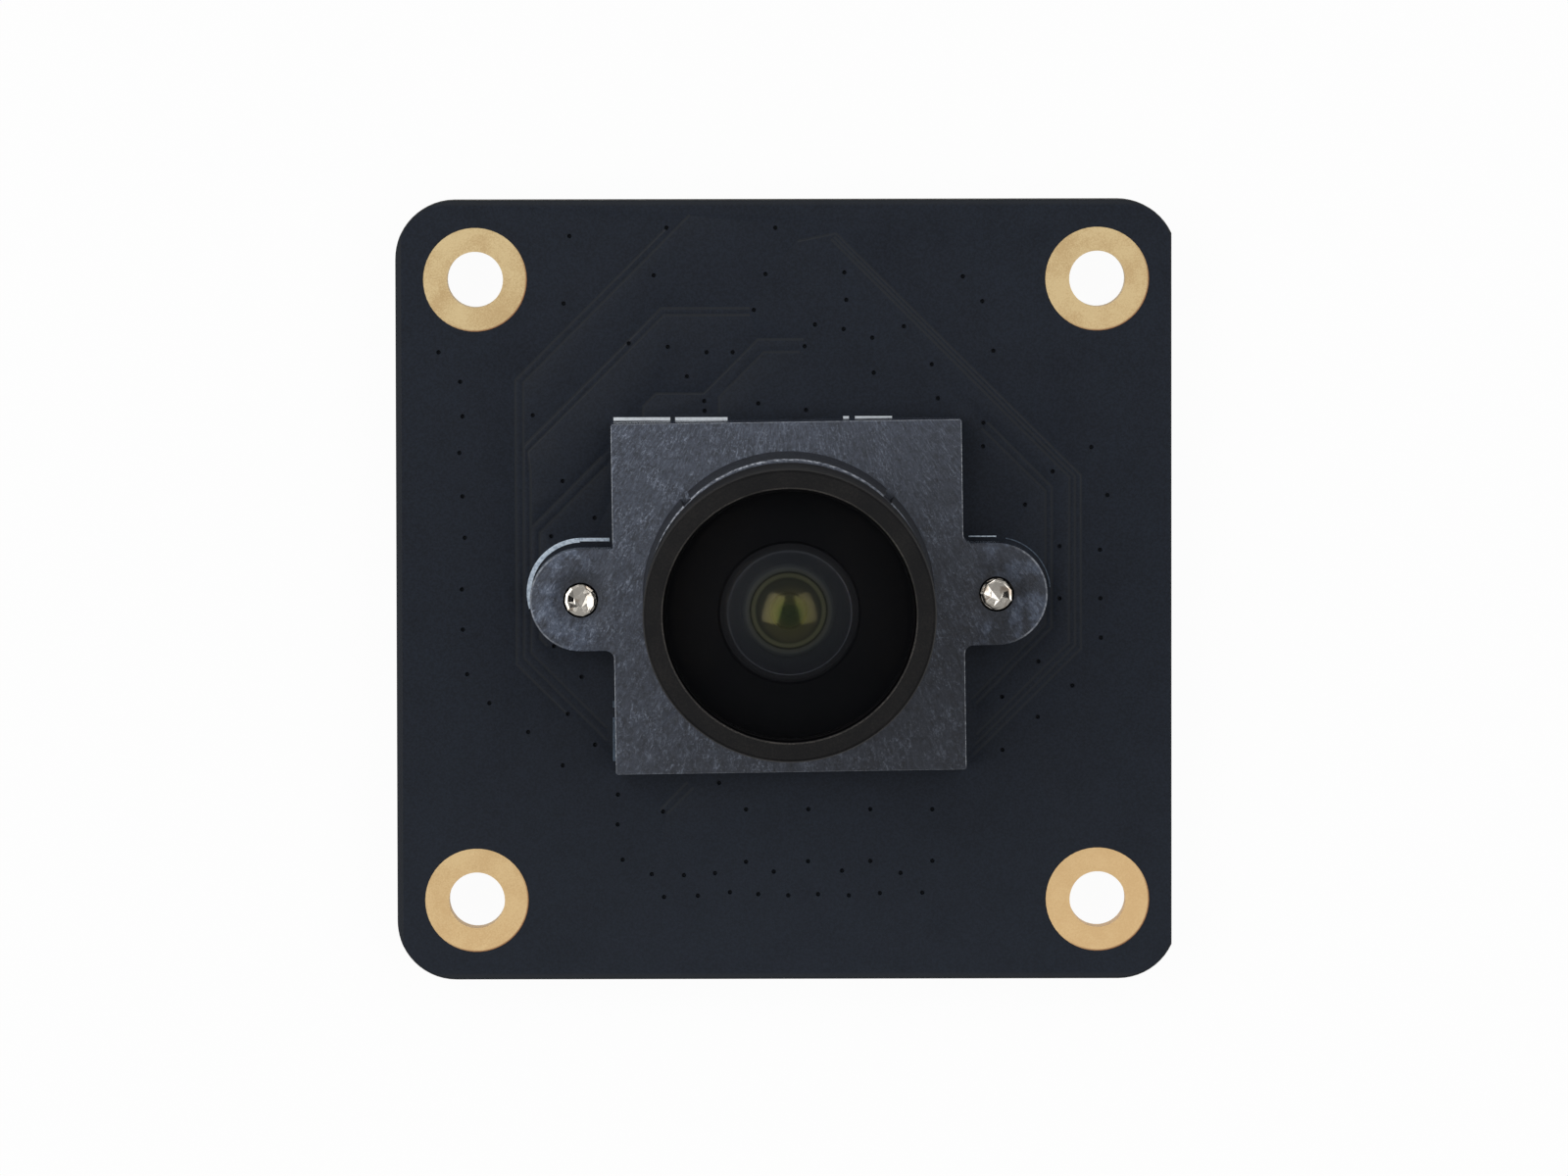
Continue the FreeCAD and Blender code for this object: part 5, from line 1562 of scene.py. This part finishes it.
    def _grooves(self) -> bpy.types.Object:
        """Flat diamond bars along every track edge, which cut shallow V grooves.

        Returns:
            The bars, to be cut out of the board.
        """
        line = bpy.data.curves.new("track_grooves", "CURVE")
        line.dimensions = "3D"
        line.twist_mode = "Z_UP"
        line.bevel_depth = self.groove_half_width * MM
        line.bevel_resolution = 0
        line.use_fill_caps = True
        for track in self.tracks:
            run = line.splines.new("POLY")
            run.points.add(len(track) - 1)
            for point, (x, y) in zip(run.points, track):
                point.co = (x * MM, y * MM, 0.0, 1.0)
        bars = bpy.data.objects.new("track_grooves", line)
        bpy.context.scene.collection.objects.link(bars)
        take(bars)
        bpy.ops.object.convert(target="MESH")
        bars = bpy.context.view_layer.objects.active
        bars.scale = (1.0, 1.0, self.groove_depth / self.groove_half_width)
        bars.location = (0.0, 0.0, (self.front + self.cutter_lift) * MM)
        settle(bars)
        return bars

    def _vias(self) -> bpy.types.Object:
        """Countersunk drills at every via, from the front and from behind.

        Returns:
            The drills, to be cut out of the board.
        """
        deselect()
        bpy.ops.mesh.primitive_cylinder_add(
            vertices=self.via_sides, radius=self.via_radius * MM, depth=2 * self.via_depth * MM,
            location=(0, 0, 0))
        drill = named("via_drill")
        with editing(drill):
            bpy.ops.mesh.bisect(plane_co=(0, 0, -self.rim_slope * MM), plane_no=(0, 0, 1))
            bpy.ops.mesh.select_all(action="DESELECT")
        for vertex in drill.data.vertices:
            vertex.select = vertex.co.z < -0.5 * self.rim_slope * MM
        share = self.via_drill / self.via_radius
        with editing(drill, whole=False):
            bpy.ops.transform.resize(value=(share, share, 1.0), center_override=(0, 0, 0))
        places = self.upper_vias + self.side_vias + self.lower_vias
        front = [copy_at(drill, Vector((x, y, self.front)) * MM) for x, y in places]
        drill.rotation_euler = Euler((math.pi, 0, 0))
        settle(drill)
        rear = [copy_at(drill, Vector((x, y, 0.0)) * MM) for x, y in places]
        remove(drill)
        return join("via_drills", front + rear)


@dataclass
class PrintedOutline:
    """White outline printed round the holder's place, which shows at its upper left."""

    thickness: float = 0.012
    runs: tuple[tuple[float, float, float, float], ...] = (
        (-8.34, -5.6, 8.35, 0.16),
        (-5.36, -2.84, 8.35, 0.16),
        (2.74, 3.02, 8.39, 0.14),
        (3.31, 5.1, 8.39, 0.14),
        (-9.98, -8.55, 2.53, 0.165),
        (8.78, 10.12, 2.6, 0.055),
    )
    arcs: tuple[tuple[float, float, float, float, float, float], ...] = (
        (-9.9, -0.12, 2.65, 0.22, 92.0, 197.0),
    )
    faint_runs: tuple[tuple[float, float, float, float], ...] = (
        (-8.41, -8.31, -5.37, 0.3),
        (-8.41, -8.29, -6.15, 2.12),
    )
    faint_arc: tuple[float, ...] = (10.13, -0.08, 2.62, 0.05, 4.0, 80.0)
    steps: int = 24
    corner: float = 0.02
    ink: Finish = WhiteInk()
    faint: Finish = WhiteInk("faint_ink", screen(74, 90, 108), screen(48, 60, 74))

    def build(self) -> None:
        """Makes the straight runs and the round ones, as one print, and its faint end."""
        floor = heights("board")[1]
        strips = [self._strip(*run, floor) for run in self.runs]
        strips += [self._arc("lug_print", arc, floor) for arc in self.arcs]
        dress(join("holder_outline_print", strips), self.ink, Body.MODULE, slot="board_mask")
        thin = [self._strip(*run, floor) for run in self.faint_runs]
        thin.append(self._arc("faint_print", self.faint_arc, floor))
        dress(join("faint_outline_print", thin), self.faint, Body.MODULE, slot="board_mask")

    def _arc(self, name: str, run: tuple[float, ...], floor: float) -> bpy.types.Object:
        """One round run.

        Args:
            name: Name of the strip.
            run: X and Y of its centre, radius, width, first and last angle.
            floor: Height of the board's face.

        Returns:
            The strip.
        """
        x, y, radius, width, start, end = run
        section = [(radius - width, floor), (radius, floor), (radius, floor + self.thickness),
                   (radius - width, floor + self.thickness)]
        return sweep(name, (x, y), section, start, end, self.steps)

    def _strip(self, left: float, right: float, top: float, width: float,
               floor: float) -> bpy.types.Object:
        """One straight run.

        Args:
            left: Left end in millimetres.
            right: Right end.
            top: Upper edge.
            width: Width of the line.
            floor: Height of the board's face.

        Returns:
            The strip.
        """
        deselect()
        bpy.ops.mesh.primitive_cube_add(size=1.0, location=(
            (left + right) / 2 * MM, (top - width / 2) * MM, (floor + self.thickness / 2) * MM))
        strip = named("print_run")
        strip.scale = Vector((right - left, width, self.thickness)) * MM
        settle(strip)
        modify(strip, "BEVEL", {"width": min(self.corner, width / 4) * MM, "segments": 2,
                                "affect": "VERTICES"})
        return strip


@dataclass
class LensHolder:
    """Moulded holder with eased edges."""

    ease: float = 0.07
    segments: int = 3
    edge_angle: float = 50.0
    finish: Finish = FilledNylon()

    def build(self) -> None:
        """Makes the holder."""
        eased("lens_holder", self.ease, Body.MODULE, self.finish, self.segments, self.edge_angle)


@dataclass
class HolderScrews:
    """Pinched-off ends of the two screws, as seen in the lugs, over their plain shanks."""

    tip_radius: float = 0.76
    stand: float = 0.1
    places: tuple[Place, ...] = ((-9.91, -0.35), (10.09, -0.09))
    turns: tuple[float, ...] = (8.0, 47.0)
    facets: tuple[int, ...] = (12, 9)
    dents: tuple[float, ...] = (0.02, 0.05)
    seeds: tuple[int, ...] = (5, 8)
    dent_spread: Pair = (0.6, 0.3)
    top_from: float = 0.9
    insets: tuple[Pair, ...] = ((0.1, 0.035), (0.05, 0.0), (0.26, -0.08))
    finish: Finish = BrightSteel()

    def build(self) -> None:
        """Makes both ends and dresses the screws."""
        paint("holder_screws", self.finish)
        top = heights("holder_screws")[1] + self.stand / 2
        for side, place, angle, facets, dent, seed in zip(
                ("left", "right"), self.places, self.turns, self.facets, self.dents, self.seeds):
            tip = self._tip(facets, dent, seed)
            tip.rotation_euler = Euler((0, 0, math.radians(angle)))
            tip.location = Vector((*place, top)) * MM
            settle(tip)
            tip.name = f"screw_end_{side}"
            tip.data.name = tip.name
            dress(tip, self.finish, Body.MODULE, slot="screw_steel")

    def _tip(self, facets: int, dent: float, seed: int) -> bpy.types.Object:
        """Shallow dish with a flat middle in a rounded end.

        Args:
            facets: Number of flats round the end.
            dent: Depth of the random dents in millimetres.
            seed: Which dents.

        Returns:
            The end, about its own middle.
        """
        deselect()
        bpy.ops.mesh.primitive_cylinder_add(vertices=facets, radius=self.tip_radius * MM,
                                            depth=self.stand * MM, location=(0, 0, 0))
        tip = named("screw_end")
        uniform, normal = self.dent_spread
        with editing(tip):
            self._pick_top(tip)
            for width, rise in self.insets:
                bpy.ops.mesh.inset(thickness=width * MM, depth=rise * MM)
            bpy.ops.mesh.select_all(action="SELECT")
            bpy.ops.transform.vertex_random(offset=dent * MM, uniform=uniform, normal=normal,
                                            seed=seed)
        return tip

    def _pick_top(self, piece: bpy.types.Object) -> None:
        """Selects the face on top.

        Args:
            piece: Object in edit mode.
        """
        bpy.ops.mesh.select_all(action="DESELECT")
        mesh = bmesh.from_edit_mesh(piece.data)
        for face in mesh.faces:
            if face.normal.z > self.top_from:
                face.select_set(True)
        mesh.select_flush_mode()
        bmesh.update_edit_mesh(piece.data)


@dataclass
class LensBarrel:
    """Turned barrel: bevelled hood, baffled pocket, undercut and a cut thread."""

    head_radius: float = 6.86
    head_length: float = 7.8
    rim_bevel: float = 0.16
    rear_bevel: float = 0.35
    inner_bevel: float = 0.07
    bore: float = 5.93
    pocket: float = 2.9
    web: float = 0.8
    throat: float = 3.25
    inner_bore: float = 4.59
    thread_radius: float = 5.94
    thread_core: float = 5.66
    thread_pitch: float = 0.5
    thread_chamfer: float = 0.1
    thread_margin: float = 0.25
    thread_crest: float = 0.035
    thread_gap: float = 0.02
    thread_root: float = 0.04
    thread_weld: float = 1e-7
    undercut: float = 5.6
    undercut_width: float = 0.6
    thread_steps: int = 48
    seat_corner: float = 0.05
    throat_bevel: float = 0.12
    crisp: float = 0.02
    rim_round: float = 0.35
    lip_from: float = 0.01
    inside_reach: float = 1.0
    steps: int = 128
    smooth_angle: float = 28.0
    finish: Finish = BlackAnodised()
    # Matt black inside the hood, painted lighter than the outer black to lift the shade there.
    inside: Finish = BlackAnodised("hood_black", screen(19, 19, 24), screen(24, 23, 28), 0.7, 0.07)
    # Pale paint on the rim's inner chamfer: a painted highlight.
    lip: Finish = BlackAnodised("lip_highlight_paint", screen(44, 43, 42), screen(96, 92, 88), 0.4, 0.3)

    def build(self) -> None:
        """Makes the barrel and its thread as one piece."""
        axis = axis_of("lens_barrel")
        rear, front = heights("lens_barrel")
        shoulder = front - self.head_length
        seat = front - self.pocket
        neck = shoulder - self.undercut_width
        section = [
            (self.inner_bore, rear),
            (self.thread_core - self.thread_chamfer, rear),
            (self.thread_core, rear + self.thread_chamfer),
            (self.thread_core, neck - self.thread_chamfer),
            (self.undercut, neck),
            (self.undercut, shoulder),
            (self.head_radius - self.rear_bevel, shoulder),
            *self._corner(self.head_radius, shoulder + self.rear_bevel),
            *self._rim(front),
            (self.bore, front - self.inner_bevel),
            (self.bore, seat + self.seat_corner),
            (self.bore - self.seat_corner, seat),
            (self.throat + self.throat_bevel, seat),
            (self.throat, seat - self.throat_bevel),
            (self.throat, seat - self.web),
            (self.inner_bore, seat - self.web),
        ]
        barrel = turn("lens_barrel_dressed", axis, section, steps=self.steps)
        thread = self._thread(axis, rear + self.thread_margin, neck - self.thread_margin)
        piece = join("lens_barrel_dressed", [barrel, thread])
        smooth(piece, self.smooth_angle)
        for finish in (self.finish, self.inside, self.lip):
            piece.data.materials.append(finish.material())
        middle = Vector((*axis, 0.0)) * MM
        for face in piece.data.polygons:
            away = (face.center - middle).xy.length / MM - self.bore
            deep = front - face.center.z / MM
            # The rim's inner chamfer takes the painted highlight; the rest inside the hood takes
            # the lightened black.
            if self.lip_from < away < self.inner_bevel and deep < self.inner_bevel:
                face.material_index = 2
            elif away < self.lip_from and deep < self.pocket + self.inside_reach:
                face.material_index = 1
        dress(piece, self.finish, Body.LENS, "lens_barrel")

    def _corner(self, radius: float, height: float) -> list[Place]:
        """Two close points that keep a turned corner crisp."""
        return [(radius - self.crisp, height - self.crisp), (radius, height)]

    def _rim(self, front: float) -> list[Place]:
        """Front rim, with its outer bevel and a fine inner one.

        Args:
            front: Height of the rim's face in millimetres.

        Returns:
            Radii and heights of the rim.
        """
        outer = self.head_radius
        rounding = self.rim_bevel * self.rim_round
        return [
            (outer, front - self.rim_bevel),
            (outer - rounding, front - rounding),
            (outer - self.rim_bevel, front),
            (self.bore + self.inner_bevel, front),
        ]

    def _thread(self, axis: Place, low: float, high: float) -> bpy.types.Object:
        """Helical ridge between two heights.

        Args:
            axis: X and Y of the axis in millimetres.
            low: Where the ridge starts.
            high: The most that it reaches.

        Returns:
            The ridge, closed at both ends.
        """
        root = self.thread_core - self.thread_root
        half = self.thread_pitch / 2 - self.thread_gap
        section = [
            (root, 0.0, -half),
            (self.thread_radius, 0.0, -self.thread_crest),
            (self.thread_radius, 0.0, self.thread_crest),
            (root, 0.0, half),
        ]
        ridge = draw("barrel_thread", section, True)
        turns = int((high - low) / self.thread_pitch)
        ridge.location = Vector((*axis, low)) * MM
        modify(ridge, "SCREW", {"axis": "Z", "angle": math.tau, "iterations": turns,
                                "screw_offset": self.thread_pitch * MM,
                                "steps": self.thread_steps, "render_steps": self.thread_steps,
                                "use_merge_vertices": True,
                                "merge_threshold": self.thread_weld})
        settle(ridge)
        with editing(ridge):
            bpy.ops.mesh.fill_holes(sides=len(section))
            bpy.ops.mesh.normals_make_consistent(inside=False)
        return ridge


@dataclass
class GlassElement:
    """One lens, turned smooth: a domed face, a hollow face or a flat one, and a ground edge."""

    node: str
    rim: float
    crown: float
    front_curve: float
    hollow: float = 0.0
    rear_curve: float = 0.0
    seat_gap: float = 0.01
    steps: int = 14
    finish: Finish = CoatedGlass()
    rear_finish: Finish | None = None
    smooth_angle: float = 25.0
    flush: float = 0.01
    rear_facing: float = -0.05

    def build(self) -> None:
        """Makes the lens."""
        low, high = heights(self.node)
        low += self.seat_gap
        shoulder = high - self.front_curve + math.sqrt(self.front_curve**2 - self.crown**2)
        section: list[Place] = [(0.0, low)]
        if self.hollow:
            drop = math.sqrt(self.rear_curve**2 - self.hollow**2)
            edge = math.degrees(math.acos(self.hollow / self.rear_curve))
            section = arc((0.0, low - drop), self.rear_curve, 90.0, edge, self.steps)
        section.append((self.rim, low))
        section.append((self.rim, shoulder))
        edge = math.degrees(math.acos(self.crown / self.front_curve))
        dome = arc((0.0, high - self.front_curve), self.front_curve, edge, 90.0, self.steps)
        section.extend(dome if self.crown < self.rim - self.flush else dome[1:])
        piece = turn(f"{self.node}_dressed", axis_of("lens_barrel"), section, False)
        smooth(piece, self.smooth_angle)
        piece.data.materials.append(self.finish.material())
        if self.rear_finish:
            piece.data.materials.append(self.rear_finish.material())
            for face in piece.data.polygons:
                face.material_index = int(face.normal.z < self.rear_facing)
        dress(piece, self.finish, Body.LENS, self.node)


LOBE_TINTS: Stops = (
    (0.0, screen(96, 140, 80)),
    (0.35, screen(120, 150, 62)),
    (0.7, screen(204, 196, 112)),
    (1.1, screen(196, 180, 128)),
    (1.26, screen(164, 152, 116)),
    (1.4, screen(84, 82, 74)),
    (2.8, screen(60, 60, 68)),
    (2.95, screen(8, 8, 9)),
)
# Painted on the front lens's hollow: a grey disc that stands in for the reflected surround, and a
# bright ring that is a painted highlight round its edge.
HOLLOW_HAZE_AND_HIGHLIGHT: Stops = (
    (0.0, screen(30, 32, 28)),
    (1.9, screen(34, 35, 36)),
    (2.2, screen(60, 62, 70)),
    (2.7, screen(68, 70, 80)),
    (2.84, screen(84, 86, 98)),
    (2.88, screen(126, 128, 140)),
    (2.93, screen(118, 120, 132)),
    (2.95, screen(46, 46, 52)),
    (3.28, screen(46, 46, 52)),
)
# Rings painted on the second lens for the inner parts seen through the glass; its bright rings are
# painted reflections.
RING_HAZE_AND_REFLECTIONS: Stops = (
    (0.0, screen(60, 66, 46)),
    (0.76, screen(64, 66, 54)),
    (0.83, screen(34, 34, 28)),
    (0.91, screen(68, 68, 58)),
    (1.36, screen(70, 70, 61)),
    (1.51, screen(62, 62, 54)),
    (1.62, screen(126, 124, 100)),
    (1.72, screen(118, 116, 94)),
    (1.79, screen(24, 24, 20)),
    (1.87, screen(102, 102, 98)),
    (1.99, screen(108, 108, 108)),
    (2.06, screen(82, 83, 90)),
    (2.2, screen(54, 56, 62)),
    (2.7, screen(54, 56, 62)),
    (2.9, screen(46, 46, 52)),
    (3.3, screen(44, 44, 50)),
)


@dataclass
class Optics:
    """Lenses and rings inside the barrel."""

    elements: tuple[GlassElement, ...] = (
        GlassElement("front_lens", 5.89, 5.89, 22.0, 2.95, 3.3,
                     finish=CoatedGlass("front_coating", strength=0.02, graze=0.5),
                     rear_finish=CoatedGlass("hollow_coating", strength=1.5, haze_reach=3.28,
                                             haze_share=0.3, reflection=LOBE_TINTS,
                                             haze_and_reflections=HOLLOW_HAZE_AND_HIGHLIGHT, ground_from=8.0, blur=0.12,
                                             line=2.92)),
        GlassElement("second_lens", 4.55, 3.0, 9.0, 2.1, 2.6,
                     finish=CoatedGlass("second_coating", (0.05, -0.14), strength=0.12, graze=0.1,
                                        haze_share=0.85, haze_reach=3.3, haze_and_reflections=RING_HAZE_AND_REFLECTIONS,
                                        ground_from=4.3)),
        GlassElement("third_lens", 4.55, 2.2, 5.0,
                     finish=CoatedGlass("third_coating", strength=0.8, ground_from=4.3)),
    )
    plain_glass: tuple[str, ...] = ("fourth_lens", "rear_lens")
    rings: tuple[str, ...] = ("front_spacer", "aperture_stop", "rear_spacer", "retaining_ring")
    glass: Finish = CoatedGlass("inner_coating", ground_from=4.3)
    black: Finish = BlackAnodised("spacer_black", base=screen(16, 16, 17),
                                  worn_and_highlight=screen(26, 25, 24))

    def build(self) -> None:
        """Makes the visible lenses and dresses the rest."""
        for element in self.elements:
            element.build()
        for node in self.plain_glass:
            paint(node, self.glass)
        for node in self.rings:
            paint(node, self.black)


@dataclass
class SensorStack:
    """Image sensor package, chip, cover glass and infrared filter under the holder."""

    package: Finish = Moulding("package_ceramic", screen(52, 48, 46), screen(44, 40, 38))
    chip: Finish = PixelField()
    cover: Finish = CoatedGlass("cover_glass_clear", strength=0.5, ground_from=9.0)
    filter: Finish = CoatedGlass("filter_film", tint=screen(190, 226, 218), strength=0.8,
                                 ground_from=9.0)

    def build(self) -> None:
        """Dresses the four pieces."""
        paint("sensor_package", self.package)
        paint("sensor_die", self.chip)
        paint("sensor_cover_glass", self.cover)
        paint("infrared_filter", self.filter)


@dataclass
class RibbonConnector:
    """Ribbon connector: housing, sliding latch, contacts and anchors."""

    housing_ease: float = 0.05
    latch_ease: float = 0.06
    housing: Finish = Moulding("natural_nylon", screen(214, 204, 178), screen(196, 184, 156),
                               0.5, 5.0, 0.015)
    latch: Finish = Moulding("dark_nylon", screen(52, 45, 40), screen(42, 36, 32), 0.45, 6.0)
    contact: Finish = Metal("gold_flash", screen(222, 190, 128), screen(198, 164, 104), 0.3,
                            (16.0, 3.0, 16.0))
    anchor: Finish = Metal("bright_tin", screen(206, 206, 202), screen(178, 178, 174), 0.34)

    def build(self) -> None:
        """Makes the moulded pieces and dresses the metal ones."""
        eased("ribbon_connector_housing", self.housing_ease, Body.MODULE, self.housing)
        eased("ribbon_connector_latch", self.latch_ease, Body.LATCH, self.latch)
        paint("ribbon_connector_contacts", self.contact)
        paint("ribbon_connector_anchors", self.anchor)


@dataclass
class RearParts:
    """Regulators, capacitors, resistors and oscillator on the rear face."""

    large_ease: float = 0.05
    lid_ease: float = 0.04
    small_ease: float = 0.03
    epoxy: Finish = Moulding("moulding_compound", screen(40, 40, 42), screen(33, 33, 35), 0.6,
                             18.0, 0.012)
    ceramic: Finish = Moulding("capacitor_body", screen(150, 112, 78), screen(132, 96, 66), 0.45,
                               9.0)
    glaze: Finish = Moulding("resistor_glaze_black", screen(26, 26, 28), screen(34, 34, 36), 0.25,
                             7.0, 0.004, 0.5)
    fired: Finish = Moulding("fired_ceramic", screen(92, 84, 74), screen(80, 72, 64))
    tin: Finish = Metal("solder_coat", screen(202, 202, 200), screen(168, 168, 168), 0.3,
                        (5.0, 5.0, 5.0), 0.03)
    cover: Finish = Metal("welded_lid", screen(204, 196, 178), screen(186, 178, 162), 0.3,
                          (2.0, 26.0, 2.0))

    def build(self) -> None:
        """Makes the bodies with eased edges and dresses the rest."""
        eased("regulators", self.large_ease, Body.MODULE, self.epoxy)
        eased("oscillator_lid", self.lid_ease, Body.MODULE, self.cover)
        for node, finish in (("capacitors", self.ceramic), ("capacitor_ends", self.tin)):
            eased(f"large_{node}", self.large_ease, Body.MODULE, finish)
            eased(f"small_{node}", self.small_ease, Body.MODULE, finish)
        paint("regulator_leads", self.tin)
        paint("oscillator_base", self.fired)
        paint("resistors", self.glaze)
        paint("resistor_ends", self.tin)


@dataclass
class Lamp:
    """Soft rectangular lamp that faces the object."""

    name: str
    place: Triple
    width: float
    height: float
    power: float
    colour: Colour = WHITE

    def build(self) -> None:
        """Adds the lamp, aimed at the middle of the frame."""
        light = bpy.data.lights.new(self.name, "AREA")
        light.shape = "RECTANGLE"
        light.size = self.width
        light.size_y = self.height
        light.energy = self.power
        light.color = self.colour
        lamp = bpy.data.objects.new(self.name, light)
        lamp.location = self.place
        lamp.rotation_euler = (-Vector(self.place)).to_track_quat("-Z", "Y").to_euler()
        bpy.context.scene.collection.objects.link(lamp)


@dataclass
class Viewpoint:
    """Camera high over the front face, a little towards the upper edge."""

    distance: float = 550.0
    left: float = -1.43
    above: float = 28.8
    aim: Place = (-0.128, 0.09)
    focal_pixels: float = 11638.0
    picture_width: float = 1600.0
    film_width: float = 36.0
    roll: float = -0.11
    clip: Pair = (0.01, 10.0)

    def build(self) -> None:
        """Adds the camera and makes it the scene's own."""
        film = bpy.data.cameras.new("viewpoint")
        film.sensor_width = self.film_width
        film.lens = self.focal_pixels / self.picture_width * self.film_width
        film.clip_start, film.clip_end = self.clip
        eye = bpy.data.objects.new("viewpoint", film)
        bpy.context.scene.collection.objects.link(eye)
        front = heights("board")[1]
        place = Vector((self.left, self.above, front + self.distance)) * MM
        target = Vector((*self.aim, front)) * MM
        back = (place - target).normalized()
        right = Vector((0.0, 1.0, 0.0)).cross(back).normalized()
        stance = Matrix((right, back.cross(right), back)).transposed()
        eye.location = place
        eye.rotation_euler = (stance @ Matrix.Rotation(math.radians(self.roll), 3, "Z")).to_euler()
        bpy.context.scene.camera = eye


@dataclass
class Studio:
    """White floor, plain soft lamps and a pale surround."""

    floor_size: float = 3.0
    floor_gap: float = 0.02
    surround: float = 0.36
    white: float = 1.0
    lamps: tuple[Lamp, ...] = (
        Lamp("left_panel", (-0.362, 0.1, 0.69), 0.68, 0.41, 2.3),
        Lamp("right_panel", (0.362, 0.1, 0.69), 0.68, 0.41, 1.46),
    )
    paper: Finish = WhiteSweep()

    def build(self) -> None:
        """Adds the floor, the lamps and the surround."""
        low = CAD_BOX[0].z - self.floor_gap * MM
        deselect()
        bpy.ops.mesh.primitive_plane_add(size=self.floor_size, location=(0, 0, low))
        floor = named("floor")
        settle(floor)
        floor.data.materials.append(self.paper.material())
        for lamp in self.lamps:
            lamp.build()
        world = bpy.data.worlds.new("surround")
        bpy.context.scene.world = world
        world.use_nodes = True
        recipe = Recipe(world.node_tree)
        camera = recipe.node("ShaderNodeLightPath", output="Is Camera Ray")
        shine = camera * (self.white - self.surround) + self.surround
        recipe.finish(recipe.node("ShaderNodeBackground", None, {
            "Color": WHITE, "Strength": shine}), "ShaderNodeOutputWorld")
        bpy.context.scene.view_settings.view_transform = "Standard"


def main() -> None:
    """Builds the camera, the studio and every sub-assembly in order."""
    logging.basicConfig(level=logging.INFO, format="%(name)s: %(message)s")
    Viewpoint().build()
    Studio().build()
    for assembly in (CircuitBoard(), PrintedOutline(), LensHolder(), HolderScrews(), LensBarrel(),
                     Optics(), SensorStack(), RibbonConnector(), RearParts()):
        assembly.build()


if __name__ == "__main__":
    main()
